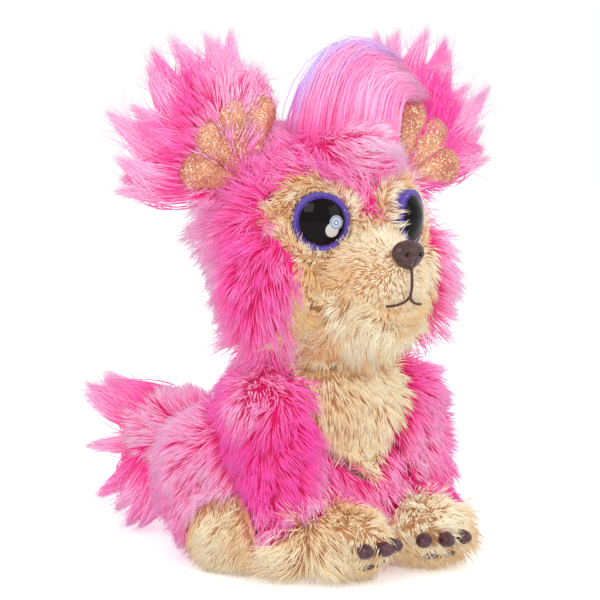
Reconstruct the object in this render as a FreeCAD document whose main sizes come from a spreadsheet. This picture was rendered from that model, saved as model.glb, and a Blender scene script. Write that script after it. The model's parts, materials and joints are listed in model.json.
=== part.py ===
import FreeCAD, Part
import math
import os
import re

import Sketcher
from FreeCAD import Placement, Rotation, Vector

# A sitting plush robot puppy, in millimetres.  The frame: +Z is up, the puppy looks along -Y,
# and its own left side is +X.  The origin lies on the floor, under the body.
# A plush skin of several sewn parts covers a hard body shell and a hard skull.  The head nods
# on a steel axle in the neck, the two ears perk together, and the tail wags.

SIZES = {
    # materials and clearances
    "pile": 12.0,               # plush skin over the skull: cloth, foam and fur
    "wall": 2.2,                # moulded walls
    "gap": 0.3,                 # clearance between plush and moving or hard pieces
    "fit": 0.05,                # radial running clearance on a pin
    "pin_radius": 2.0,
    "screw_radius": 1.5,
    "screw_head": 2.8,
    "boss_radius": 4.0,
    # the head, its cheeks, jaw and muzzle
    "head_width": 68.0, "head_depth": 52.0, "head_rise": 62.0,       # half sizes of the ball
    "head_y": 5.0, "head_level": 184.0,
    "cheek_x": 47.0, "cheek_y": -14.0, "cheek_level": 159.0,
    "cheek_width": 29.0, "cheek_depth": 29.0, "cheek_rise": 36.0,
    "jaw_y": -38.0, "jaw_level": 146.0,
    "jaw_width": 34.0, "jaw_depth": 26.0, "jaw_rise": 28.0,
    "muzzle_y": -48.0, "muzzle_level": 162.0,
    "muzzle_width": 30.0, "muzzle_depth": 28.0, "muzzle_rise": 26.0,
    "nose_y": -73.0, "nose_level": 175.5,
    "nose_width": 9.5, "nose_depth": 6.5, "nose_rise": 7.0, "nostril": 2.2,
    "stitch_radius": 0.9, "mouth_drop": 15.0, "mouth_width": 12.0,
    "face_width": 26.0, "brow_x": 30.0, "brow_level": 193.0, "brow_radius": 23.0, "face_back": -15.0,
    "eye_x": 32.0, "eye_y": -40.0, "eye_level": 193.0,
    "eye_radius": 13.7, "eye_splay": 25.0, "eye_rim": 2.0, "eye_dome": 5.0, "iris_thick": 1.2,
    # the crest of long hair on the forehead
    "crest_y": -18.0, "crest_level": 226.0, "crest_width": 26.0, "crest_depth": 16.0, "crest_rise": 22.0,
    "crest_lock": 8.5,
    "plume_width": 24.0, "plume_depth": 11.0, "plume_rise": 34.0, "plume_x": 9.0, "plume_level": 250.0,
    "plume_lean": 22.0,
    # the neck
    "neck_y": 5.0, "neck_level": 130.0, "neck_ball": 42.5, "neck_gap": 1.5, "neck_room": 32.0,
    "nod_teeth": 72.0, "nod_plate": 5.0, "nod_hub": 6.0, "nod_hub_length": 12.0, "nod_up": 14.0,
    "nod_stem": 10.0, "nod_flange": 10.0, "nod_flange_plate": 2.5,
    "post_plate": 4.0, "post_radius": 8.0, "post_play": 0.5,
    # gears
    "gear_module": 1.0, "pinion_teeth": 12.0, "backlash": 0.3, "shaft_radius": 1.0, "pinion_length": 4.3,
    # the ears
    "ear_x": 50.0, "ear_level": 212.0, "ear_front": -1.5, "lever_plate": 4.2, "ear_swing": 8.0,
    "ear_teeth": 100.0, "ear_hub": 6.0, "ear_stub": 27.0, "ear_stub_width": 8.0, "ear_pocket": 18.0,
    "petal_reach": 37.0, "petal_radius": 13.0, "petal_plate": 4.0, "petal_root": 4.0,
    "petal_first": 12.0, "petal_step": 29.0,
    "fluff_reach": 50.0, "fluff_radius": 15.0, "fluff_plate": 15.0, "fluff_root": 9.0, "lock_reach": 90.0,
    "lock_start": 30.0, "lock_radius": 9.0, "lock_tip": 1.5,
    "ear_plate": 3.0, "ear_plate_radius": 10.0, "ear_plate_foot": 24.0, "pin_head": 3.2, "pin_head_plate": 0.8,
    # the body
    "belly_width": 62.0, "belly_depth": 64.0, "belly_rise": 56.0, "belly_y": 14.0, "belly_level": 36.0,
    "chest_width": 56.0, "chest_depth": 50.0, "chest_rise": 42.0, "chest_y": 8.0, "chest_level": 88.0,
    "bib_width": 36.0, "bib_top": 112.0, "bib_point": 50.0, "bib_back": -12.0,
    "shell_y": 10.0, "shell_radius": 41.5, "shell_top_radius": 28.0, "shell_waist": 60.0, "shell_height": 104.0,
    # the legs
    "shoulder_x": 46.0, "shoulder_y": -12.0, "shoulder_level": 89.0, "shoulder_radius": 27.0,
    "wrist_x": 45.0, "wrist_y": -37.0, "wrist_level": 20.0, "wrist_radius": 20.0,
    "cuff_y": -20.0, "cuff_tilt": 52.0,
    "paw_x": 29.0, "paw_y": -48.0, "paw_level": 22.0, "paw_turn": 12.0,
    "paw_width": 26.0, "paw_length": 33.0, "paw_rise": 22.0,
    "claw_radius": 4.2, "claw_length": 6.5, "claw_level": 23.0, "claw_spread": 12.0,
    "thigh_x": 48.0, "thigh_y": 32.0, "thigh_level": 46.0,
    "thigh_width": 32.0, "thigh_depth": 44.0, "thigh_rise": 44.0,
    "foot_x": 55.0, "foot_y": 3.0, "foot_level": 20.0, "foot_width": 26.0, "foot_length": 34.0, "foot_rise": 26.0,
    # the tail
    "tail_y": 60.0, "tail_level": 62.0, "tail_rest": 15.0,
    "tail_teeth": 36.0, "tail_plate": 5.0, "tail_hub": 6.0, "tail_hub_length": 7.0,
    "tail_bar": 4.0, "tail_bar_length": 44.0, "bracket_plate": 3.0, "bracket_radius": 8.0, "tail_slot": 16.0,
    "tail_middle": 58.0, "tail_ball": 27.0, "tail_lock": 15.0, "tail_reach": 64.0,
    # the electrics
    "motor_radius": 10.0, "motor_length": 18.0, "motor_shelf": 1.8, "shelf_gap": 0.6, "shaft_hole": 3.0,
    "cell_radius": 7.25, "cell_length": 50.5, "nub_radius": 2.75, "nub_height": 1.0,
    "tray_play": 1.0, "contact_plate": 0.5, "tray_floor": 2.5,
    "door_play": 0.3, "door_tab": 10.0, "door_tab_width": 14.0,
    "board_plate": 1.6, "board_stand": 3.0, "board_width": 44.0, "board_length": 48.0, "board_post": 2.5,
    "speaker_radius": 18.0, "speaker_depth": 9.0, "speaker_level": 58.0, "speaker_y": -22.0,
    "grille_hole": 2.5, "grille_ring": 9.0,
    "switch_inset": 9.5, "switch_travel": 4.0, "switch_width": 3.4, "switch_length": 5.0,
    "switch_recess": 0.4, "switch_case": 7.0, "switch_lip": 1.0, "switch_lip_plate": 1.2,
}

SIDES = {"right": -1, "left": 1}
X_AXIS, Y_AXIS, Z_AXIS = Vector(1, 0, 0), Vector(0, 1, 0), Vector(0, 0, 1)
ALONG_X = Rotation(Z_AXIS, X_AXIS)
ALONG_Y = Rotation(Z_AXIS, Y_AXIS)
ALONG_Z = Rotation()
FAR = 200.0                     # longer than any piece, for cutting tools

doc = FreeCAD.newDocument("plush_puppy")
sheet = doc.addObject("Spreadsheet::Sheet", "Sizes")
for row, (alias, value) in enumerate(SIZES.items(), 1):
    sheet.set("A%d" % row, alias)
    sheet.set("B%d" % row, repr(value))
    sheet.setAlias("B%d" % row, alias)
doc.recompute()

finished = []                   # the sub-parts, in the order they are made


# ---------------------------------------------------------------- helpers
def size(alias):
    """The value of one cell of the sheet."""
    return float(sheet.get(alias))


def formula(text):
    """An expression in which every alias points at the sheet."""
    return re.sub(r"[a-z_]+", lambda m: "Sizes." + m[0] if m[0] in SIZES else m[0], text)


def bind(item, **properties):
    for name, text in properties.items():
        item.setExpression(name, formula(text))
    return item


def place(item, x="0", y="0", z="0", turn=ALONG_Z):
    """Turn an object by code and move it to a place that follows the sheet."""
    item.Placement = Placement(Vector(), turn)
    for axis, text in zip("xyz", (x, y, z)):
        item.setExpression("Placement.Base." + axis, formula(text))
    return item


def add(kind, name):
    return doc.addObject(kind, name)


def ball(name, radius, x="0", y="0", z="0"):
    return place(bind(add("Part::Sphere", name), Radius=radius), x, y, z)


def egg(name, across, deep, high, x="0", y="0", z="0", turn=ALONG_Z):
    """An ellipsoid with its half sizes along X, Y and Z."""
    item = bind(add("Part::Ellipsoid", name), Radius1=high, Radius2=across, Radius3=deep)
    return place(item, x, y, z, turn)


def rod(name, radius, length, x="0", y="0", z="0", turn=ALONG_Z):
    """A cylinder that starts at the given point."""
    return place(bind(add("Part::Cylinder", name), Radius=radius, Height=length), x, y, z, turn)


def block(name, across, deep, high, x="0", y="0", z="0"):
    """A box centred on X and Y that stands on the given level."""
    item = bind(add("Part::Box", name), Length=across, Width=deep, Height=high)
    return place(item, "%s - (%s) / 2" % (x, across), "%s - (%s) / 2" % (y, deep), z)


def fuse(name, *items):
    item = add("Part::MultiFuse", name)
    item.Shapes = list(items)
    return item


def chain(name, *items):
    """Fuse items one after another, which suits overlapping ellipsoids."""
    whole = items[0]
    for index, other in enumerate(items[1:], 1):
        joint = add("Part::Fuse", "%s_%d" % (name, index))
        joint.Base, joint.Tool = whole, other
        whole = joint
    return whole


def cut(name, base, *tools):
    item = add("Part::Cut", name)
    item.Base = base
    item.Tool = tools[0] if len(tools) == 1 else fuse(name + "_tools", *tools)
    return item


def common(name, *items):
    item = add("Part::MultiCommon", name)
    item.Shapes = list(items)
    return item


def mirrored(name, source):
    item = add("Part::Mirroring", name)
    item.Source = source
    item.Normal = X_AXIS
    return item


def made(name, shape, placement=None):
    """A plain feature whose shape comes from Part's own functions."""
    item = add("Part::Feature", name)
    item.Shape = shape
    if placement:
        item.Placement = placement
    return item


def finish(item, label):
    """Give a sub-part the name of its node."""
    item.Label = label
    finished.append(item)
    return item


def both_sides(label, item):
    """Finish a right-hand piece and its mirror image."""
    finish(item, label + "_right")
    return item, finish(mirrored(label + "_mirror", item), label + "_left")


def sketch_on(body, role, name):
    sketch = body.newObject("Sketcher::SketchObject", name)
    plane = [item for item in body.Origin.OriginFeatures if item.Role == role][0]
    sketch.AttachmentSupport = [(plane, "")]
    sketch.MapMode = "FlatFace"
    return sketch


def rectangle(body, name, width, length):
    """A rectangle centred on the body's origin in its XY plane."""
    sketch = sketch_on(body, "XY_Plane", name)
    corners = [Vector(-1, -1, 0), Vector(1, -1, 0), Vector(1, 1, 0), Vector(-1, 1, 0)]
    for start, end in zip(corners, corners[1:] + corners[:1]):
        sketch.addGeometry(Part.LineSegment(start, end))
    for side in range(4):
        sketch.addConstraint(Sketcher.Constraint("Coincident", side, 2, (side + 1) % 4, 1))
        sketch.addConstraint(Sketcher.Constraint("Vertical" if side % 2 else "Horizontal", side))
    sketch.addConstraint(Sketcher.Constraint("Symmetric", 0, 1, 1, 2, -1, 1))
    for name, kind, line, text in (("across", "DistanceX", 0, width), ("along", "DistanceY", 1, length)):
        index = sketch.addConstraint(Sketcher.Constraint(kind, line, 1, line, 2, 2.0))
        sketch.renameConstraint(index, name)
        sketch.setExpression("Constraints." + name, formula(text))
    return sketch


def plate(name, width, length, thick, x="0", y="0", z="0", corner="1"):
    """A flat plate with rounded upright edges."""
    body = add("PartDesign::Body", name)
    pad = body.newObject("PartDesign::Pad", name + "_pad")
    pad.Profile = rectangle(body, name + "_sketch", width, length)
    bind(pad, Length=thick)
    doc.recompute()
    upright = [i for i, edge in enumerate(pad.Shape.Edges, 1)
               if abs(edge.Vertexes[0].X - edge.Vertexes[-1].X) + abs(edge.Vertexes[0].Y - edge.Vertexes[-1].Y) < 1e-6]
    fillet = body.newObject("PartDesign::Fillet", name + "_corners")
    fillet.Base = (pad, ["Edge%d" % i for i in upright])
    bind(fillet, Radius=corner)
    return place(body, x, y, z)


# ---------------------------------------------------------------- gears
def tooth_angle(teeth, radius):
    """Half the angle that one involute tooth takes up at this radius."""
    pitch = teeth * size("gear_module") / 2
    base = pitch * math.cos(math.radians(20))
    involute = lambda r: math.sqrt(max((r / base) ** 2 - 1, 0)) - math.acos(min(base / r, 1))
    return math.pi / 2 / teeth - size("backlash") / 4 / pitch + involute(pitch) - involute(max(radius, base))


def tooth_points(teeth, centre):
    """The outline of one tooth about its centre angle, from root to tip and back."""
    module = size("gear_module")
    pitch = teeth * module / 2
    radii = [pitch - 1.25 * module, pitch - 0.6 * module, pitch, pitch + 0.45 * module, pitch + 0.85 * module]
    rising = [(r, centre - tooth_angle(teeth, r)) for r in radii]
    falling = [(r, centre + tooth_angle(teeth, r)) for r in reversed(radii)]
    return [Vector(r * math.cos(a), r * math.sin(a), 0) for r, a in rising + falling]


def gear(teeth, first, last, thick, hub=0.0, phase=0.0):
    """A toothed wheel, or a sector of one from its hub when it has fewer teeth than the circle."""
    points = []
    for index in range(first, last + 1):
        points += tooth_points(teeth, 2 * math.pi * index / teeth + math.radians(phase))
    if last - first + 1 < teeth:
        points.append(Vector())
    wheel = Part.Face(Part.makePolygon(points + points[:1])).extrude(Vector(0, 0, thick))
    return wheel.fuse(Part.makeCylinder(hub, thick)).removeSplitter() if hub else wheel


def pitch_radius(teeth):
    return teeth * size("gear_module") / 2


def pinion(label, centre, turn, phase):
    """A small motor gear with its shaft hole."""
    teeth = int(size("pinion_teeth"))
    wheel = gear(teeth, 0, teeth - 1, size("pinion_length"), phase=phase)
    wheel = wheel.cut(Part.makeCylinder(size("shaft_radius") + size("fit"), size("pinion_length")))
    return finish(made(label, wheel, Placement(centre, turn)), label)


def motor(label, face, turn, shaft):
    """A can motor whose shaft leaves its face."""
    can = Part.makeCylinder(size("motor_radius"), size("motor_length"), Vector(0, 0, -size("motor_length")))
    stem = Part.makeCylinder(size("shaft_radius"), shaft)
    return finish(made(label, can.fuse(stem), Placement(face, turn)), label)


# ---------------------------------------------------------------- the neck and the body's outer form
def neck_sphere(name, radius):
    return ball(name, radius, "0", "neck_y", "neck_level")


def torso_form():
    """The plush body without its openings: belly, chest and the ball of the neck."""
    belly = egg("belly", "belly_width", "belly_depth", "belly_rise", "0", "belly_y", "belly_level")
    chest = egg("chest", "chest_width", "chest_depth", "chest_rise", "0", "chest_y", "chest_level")
    below = block("below_floor", "2 * %g" % FAR, "2 * %g" % FAR, "%g" % FAR, z="-%g" % FAR)
    return cut("torso_form", fuse("torso_balls", belly, chest, neck_sphere("neck_form", "neck_ball")), below)


def shell_profile(body, name, inset, sign):
    """Half the outline of the body shell, moved in (sign 1) or out (sign -1) by one of the sizes."""
    sketch = sketch_on(body, "XZ_Plane", name)
    foot, waist, top, height = (size(k) for k in ("shell_radius", "shell_waist", "shell_top_radius", "shell_height"))
    start = sign * size(inset)
    points = [(0, start), (foot - start, start), (foot - start, waist), (top - start, height - start),
              (0, height - start)]
    points = [Vector(x, y, 0) for x, y in points]
    for start, end in zip(points, points[1:] + points[:1]):
        sketch.addGeometry(Part.LineSegment(start, end))
    for side in range(5):
        sketch.addConstraint(Sketcher.Constraint("Coincident", side, 2, (side + 1) % 5, 1))
    sketch.addConstraint(Sketcher.Constraint("PointOnObject", 4, 1, -2))
    sketch.addConstraint(Sketcher.Constraint("PointOnObject", 4, 2, -2))
    sketch.addConstraint(Sketcher.Constraint("Horizontal", 0))
    sketch.addConstraint(Sketcher.Constraint("Vertical", 1))
    sketch.addConstraint(Sketcher.Constraint("Horizontal", 3))
    move = "%d * %s" % (sign, inset)
    for name, kind, point, text in (
            ("base", "DistanceY", (0, 1), move), ("foot", "DistanceX", (0, 2), "shell_radius - " + move),
            ("waist", "DistanceY", (1, 2), "shell_waist"),
            ("top", "DistanceX", (2, 2), "shell_top_radius - " + move),
            ("rise", "DistanceY", (3, 2), "shell_height - " + move)):
        index = sketch.addConstraint(Sketcher.Constraint(kind, -1, 1, *point, 1.0))
        sketch.renameConstraint(index, name)
        sketch.setExpression("Constraints." + name, formula(text))
    return sketch


def shell_solid(name, inset, sign=1):
    """The body shell's form, moved in or out by one of the sizes."""
    body = add("PartDesign::Body", name)
    turn = body.newObject("PartDesign::Revolution", name + "_turn")
    sketch = shell_profile(body, name + "_profile", inset, sign)
    turn.Profile = sketch
    turn.ReferenceAxis = (sketch, ["V_Axis"])
    turn.Angle = 360.0
    return place(body, "0", "shell_y", "0")


def half_space(name, y, front):
    """Everything in front of a plane across the puppy, or everything behind it."""
    centre = "%s %s %g" % (y, "-" if front else "+", FAR)
    return block(name, "2 * %g" % FAR, "2 * %g" % FAR, "3 * %g" % FAR, "0", centre, "-%g" % FAR)


def halves(label, whole, plane):
    """Split a closed shell into its front and rear mouldings."""
    for end in ("front", "rear"):
        finish(common("%s_%s" % (label, end), whole, half_space("%s_%s_side" % (label, end), plane, end == "front")),
               "%s_%s" % (label, end))


def joining_screws(label, plane, places, bosses_in):
    """Bosses across a split, the cutters for their holes, and the screws that fill them."""
    bosses, holes, screws = [], [], []
    for index, (x, z) in enumerate(places):
        name = "%s_%d" % (label, index)
        bosses.append(rod(name + "_boss", "boss_radius", "2 * %g" % FAR, x, "-%g" % FAR, z, ALONG_Y))
        holes.append(rod(name + "_bore", "screw_radius + fit", "18", x, plane + " - 9", z, ALONG_Y))
        holes.append(rod(name + "_sink", "screw_head + gap", "%g" % FAR, x, plane + " + 6", z, ALONG_Y))
        shaft = rod(name + "_shaft", "screw_radius", "15", x, plane + " - 8", z, ALONG_Y)
        head = rod(name + "_head", "screw_head", "2", x, plane + " + 6", z, ALONG_Y)
        screws.append(fuse(name, shaft, head))
    finish(add("Part::Compound", label + "_all"), label).Links = screws
    return common(label + "_bosses", fuse(label + "_rods", *bosses), bosses_in), holes


# ---------------------------------------------------------------- the hard body
CELL_ROOM = "(6 * cell_radius + 2 * tray_play)"
CELL_RUN = "(cell_length + nub_height + 2 * contact_plate + 2 * tray_play)"
TRAY_TOP = "(wall + 2 * cell_radius + tray_play + tray_floor)"
NOD_MESH = "(neck_level - (nod_teeth + pinion_teeth) * gear_module / 2)"
TAIL_MESH = "(tail_y - (tail_teeth + pinion_teeth) * gear_module / 2)"
MOTOR_FACE = "(pinion_length / 2 + shelf_gap + motor_shelf)"


def body_shell():
    """Two moulded halves that hold the works and clamp the axle of the head."""
    outer = shell_solid("shell_outer", "gap", 0)
    room = shell_solid("shell_room", "wall")
    reach = "(nod_hub_length / 2 + post_play)"
    posts = []
    for side in (-1, 1):
        x = "%d * (%s + post_plate / 2)" % (side, reach)
        post = block("post_%d" % side, "post_plate", "2 * post_radius", "neck_level - shell_height + wall",
                     x, "neck_y", "shell_height - wall")
        eye = rod("post_eye_%d" % side, "post_radius", "post_plate", "%s - post_plate / 2" % x,
                  "neck_y", "neck_level", ALONG_X)
        posts += [post, eye]
    tail_cheeks = []
    for side in (-1, 1):
        z = "tail_level + %d * (tail_hub_length / 2 + post_play + bracket_plate / 2) - bracket_plate / 2" % side
        tail_cheeks.append(block("tail_cheek_%d" % side, "2 * bracket_radius",
                                 "tail_y - shell_y - shell_radius + 2 * wall",
                                 "bracket_plate", "0", "(tail_y + shell_y + shell_radius - 2 * wall) / 2", z))
        tail_cheeks.append(rod("tail_cheek_end_%d" % side, "bracket_radius", "bracket_plate", "0", "tail_y", z))
    nod_shelf = block("nod_shelf", "motor_shelf", "%g" % FAR, "2 * motor_radius + 4",
                      "motor_shelf / 2 - " + MOTOR_FACE, "0", NOD_MESH + " - motor_radius - 2")
    tail_shelf = block("tail_shelf", "2 * motor_radius + 4", "%g / 2" % FAR, "motor_shelf",
                       "0", TAIL_MESH + " - motor_radius - 2 + %g / 4" % FAR,
                       "tail_level - " + MOTOR_FACE)
    ring = cut("speaker_ring", rod("ring_out", "speaker_radius + wall + gap", "%g" % FAR, "0",
                                   "speaker_y + speaker_depth - 2 - %g" % FAR, "speaker_level", ALONG_Y),
               rod("ring_in", "speaker_radius + gap", "%g" % FAR, "0", "speaker_y + speaker_depth - %g" % FAR,
                   "speaker_level", ALONG_Y))
    bosses, screw_holes = joining_screws("body_screws", "neck_y",
                                         (("-34", "36"), ("34", "36"), ("-24", "68"), ("24", "68")), room)
    inside = common("shell_inside", fuse("shelves", nod_shelf, tail_shelf, ring), room)
    solid = fuse("shell_all", cut("shell_walls", outer, room), inside, bosses, *(posts + tail_cheeks))
    openings = [
        rod("axle_bore", "pin_radius + fit", "4 * post_radius", "-2 * post_radius", "neck_y", "neck_level", ALONG_X),
        rod("tail_bore", "pin_radius + fit", "4 * post_radius", "0", "tail_y", "tail_level - 2 * post_radius"),
        block("sector_slot", "nod_plate + 4", "nod_teeth * gear_module / 2 + 8", "4 * wall", "0", "neck_y",
              "shell_height - 2 * wall"),
        block("tail_window", "2 * tail_slot", "8 * wall", "tail_hub_length + 2 * post_play", "0",
              "shell_y + shell_radius", "tail_level - tail_hub_length / 2 - post_play"),
        rod("nod_shaft_hole", "shaft_hole", "4 * motor_shelf", "-2 * motor_shelf - " + MOTOR_FACE, "neck_y",
            NOD_MESH, ALONG_X),
        rod("tail_shaft_hole", "shaft_hole", "3 * motor_shelf", "0", TAIL_MESH,
            "tail_level - motor_shelf - " + MOTOR_FACE),
        block("cell_door_hole", CELL_ROOM, CELL_RUN, "2 * wall", "0", "shell_y", "-wall"),
        block("door_tab_hole", "door_tab_width + 2 * door_play", CELL_RUN + " / 2 + door_tab + door_play", "2 * wall",
              "0", "shell_y - (%s / 2 + door_tab + door_play) / 2" % CELL_RUN, "-wall"),
        block("switch_hole", "switch_width + 2 * gap", "switch_length + switch_travel + 2 * gap", "2 * wall",
              "shell_radius - switch_inset", "shell_y + switch_travel / 2", "-wall"),
        rod("grille_0", "grille_hole", "%g" % FAR, "0", "-%g" % FAR, "speaker_level", ALONG_Y)]
    for index in range(6):
        angle = "(%d * 1 deg)" % (60 * index)
        openings.append(rod("grille_%d" % (index + 1), "grille_hole", "%g" % FAR, "grille_ring * cos%s" % angle,
                            "-%g" % FAR, "speaker_level + grille_ring * sin%s" % angle, ALONG_Y))
    halves("body_shell", cut("shell_cut", solid, *(openings + screw_holes)), "neck_y")
    axle = "(nod_hub_length + 2 * post_play + 2 * post_plate)"
    finish(rod("nod_axle", "pin_radius", axle, "-%s / 2" % axle, "neck_y", "neck_level", ALONG_X), "nod_axle")
    pin = "(tail_hub_length + 2 * post_play + 2 * bracket_plate)"
    finish(rod("tail_pin", "pin_radius", pin, "0", "tail_y", "tail_level - %s / 2" % pin), "tail_pin")


def battery_bay():
    """The tray over three cells, its contacts, and the screwed door flush with the base."""
    tray = block("tray_out", CELL_ROOM + " + 2 * wall", CELL_RUN + " + 2 * wall", TRAY_TOP + " - wall",
                 "0", "shell_y", "wall")
    room = block("tray_room", CELL_ROOM, CELL_RUN, TRAY_TOP + " - wall - tray_floor", "0", "shell_y", "wall")
    tab_y = "shell_y - %s / 2 - door_tab / 2" % CELL_RUN
    boss = rod("door_boss", "boss_radius", "10", "0", tab_y, "wall")
    hole = rod("door_boss_hole", "screw_radius + fit", "9", "0", tab_y, "wall")
    posts = [rod("board_post_%d_%d" % (i, j), "board_post", "board_stand",
                 "%d * (board_width / 2 - board_post - 1)" % i,
                 "shell_y + %d * (board_length / 2 - board_post - 1)" % j, TRAY_TOP)
             for i in (-1, 1) for j in (-1, 1)]
    finish(cut("tray", fuse("tray_all", cut("tray_box", tray, room), boss, *posts), room, hole), "battery_tray")
    panel = block("door_panel", CELL_ROOM + " - 2 * door_play", CELL_RUN + " - 2 * door_play", "wall", "0", "shell_y", "0")
    tab = block("door_tab_plate", "door_tab_width", CELL_RUN + " / 2 + door_tab", "wall", "0",
                "shell_y - (%s / 2 + door_tab) / 2" % CELL_RUN, "0")
    sink = rod("door_sink", "screw_head + gap", "1.2", "0", tab_y, "0")
    bore = rod("door_bore", "screw_radius + gap", "wall", "0", tab_y, "0")
    finish(cut("door", fuse("door_all", panel, tab), sink, bore), "battery_door")
    finish(fuse("door_screw", rod("door_screw_head", "screw_head", "0.8", "0", tab_y, "0.4"),
                rod("door_screw_shaft", "screw_radius", "8", "0", tab_y, "0.4")), "door_screw")
    cells, contacts = [], []
    bottom = "wall + tray_play / 2"
    start = "shell_y - %s / 2 + tray_play / 2 + contact_plate" % CELL_RUN
    for index in (-1, 0, 1):
        x = "%d * 2 * cell_radius + %d * tray_play / 4" % (index, index)
        z = bottom + " + cell_radius"
        flip = index % 2
        body_y = start + (" + nub_height" if flip else "")
        nub_y = start if flip else start + " + cell_length"
        cells.append(fuse("cell_%d" % (index + 1),
                          rod("can_%d" % (index + 1), "cell_radius", "cell_length", x, body_y, z, ALONG_Y),
                          rod("nub_%d" % (index + 1), "nub_radius", "nub_height", x, nub_y, z, ALONG_Y)))
        for end in (-1, 1):
            y = "shell_y + %d * (%s - tray_play - contact_plate) / 2" % (end, CELL_RUN)
            contacts.append(block("contact_%d_%d" % (index + 1, end), "cell_radius", "contact_plate",
                                  "cell_radius", x, y, "wall + cell_radius / 2"))
    finish(add("Part::Compound", "cells"), "batteries").Links = cells
    finish(add("Part::Compound", "contacts"), "battery_contacts").Links = contacts


def electrics():
    """The board on the tray, the speaker in its ring, the switch and the two body motors."""
    finish(plate("board", "board_width", "board_length", "board_plate", "0", "shell_y",
                 TRAY_TOP + " + board_stand"), "circuit_board")
    finish(fuse("speaker_whole",
                rod("speaker_frame", "speaker_radius", "2", "0", "speaker_y + speaker_depth - 2",
                    "speaker_level", ALONG_Y),
                place(bind(add("Part::Cone", "speaker_basket"), Radius1="speaker_radius - 1",
                           Radius2="speaker_radius / 2", Height="speaker_depth - 2"),
                      "0", "speaker_y + speaker_depth - 2", "speaker_level", Rotation(Z_AXIS, -Y_AXIS))), "speaker")
    knob_y = "shell_y"
    finish(fuse("knob", block("knob_stem", "switch_width", "switch_length", "wall + switch_lip_plate",
                              "shell_radius - switch_inset", knob_y, "switch_recess"),
                block("knob_lip", "switch_width + 2 * switch_lip", "switch_length + 2 * switch_lip",
                      "switch_lip_plate", "shell_radius - switch_inset", knob_y, "wall + gap")), "power_switch")
    case_room = ("switch_width + 2 * switch_lip + 2 * gap", "switch_length + 2 * switch_lip + switch_travel + 2 * gap")
    mid = "shell_y + switch_travel / 2"
    finish(cut("case", block("case_out", case_room[0] + " + 2", case_room[1] + " + 2", "switch_case",
                             "shell_radius - switch_inset", mid, "wall"),
               block("case_in", case_room[0], case_room[1], "switch_lip_plate + 3 * gap", "shell_radius - switch_inset", mid, "wall")),
           "switch_case")
    nod_mesh = Vector(0, size("neck_y"), size("neck_level") - pitch_radius(size("nod_teeth") + size("pinion_teeth")))
    tail_mesh = Vector(0, size("tail_y") - pitch_radius(size("tail_teeth") + size("pinion_teeth")), size("tail_level"))
    half, face = size("pinion_length") / 2, size("pinion_length") / 2 + size("shelf_gap") + size("motor_shelf")
    motor("nod_motor", nod_mesh - X_AXIS * face, ALONG_X, face + half)
    motor("tail_motor", tail_mesh - Z_AXIS * face, ALONG_Z, face + half)
    step = 180 / size("pinion_teeth")
    pinion("nod_pinion", nod_mesh - X_AXIS * half, YZ_PLANE, 90 + step)
    pinion("tail_pinion", tail_mesh - Z_AXIS * half, ALONG_Z, 90 + step)


YZ_PLANE = Rotation(Vector(1, 1, 1), 120)       # turns X, Y, Z into Y, Z, X
XZ_PLANE = Rotation(X_AXIS, 90)                 # turns Y into Z and Z into -Y


# ---------------------------------------------------------------- the plush body
def side_taper(name, side, start, end):
    """A tapered limb between two balls, each given by the prefix of its sizes."""
    points = [Vector(side * size(p + "_x"), size(p + "_y"), size(p + "_level")) for p in (start, end)]
    run = points[1] - points[0]
    cone = bind(add("Part::Cone", name), Radius1=start + "_radius", Radius2=end + "_radius")
    cone.Height = run.Length
    where = ["%d * %s_x" % (side, start), start + "_y", start + "_level"]
    balls = [ball("%s_%s" % (name, p), p + "_radius", "%d * %s_x" % (side, p), p + "_y", p + "_level")
             for p in (start, end)]
    return fuse(name + "_limb", place(cone, *where, turn=Rotation(Z_AXIS, run)), *balls)


def cuff_side():
    """Everything in front of and below the slanted seam between a front leg and its paw."""
    tilt = "cuff_tilt * 1 deg"
    tool = bind(add("Part::Box", "cuff"), Length="2 * %g" % FAR, Width="2 * %g" % FAR, Height="%g" % FAR)
    return place(tool, "-%g" % FAR, "cuff_y - %g * (cos(%s) + sin(%s))" % (FAR, tilt, tilt),
                 "%g * (sin(%s) - cos(%s))" % (FAR, tilt, tilt), Rotation(X_AXIS, -size("cuff_tilt")))


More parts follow.
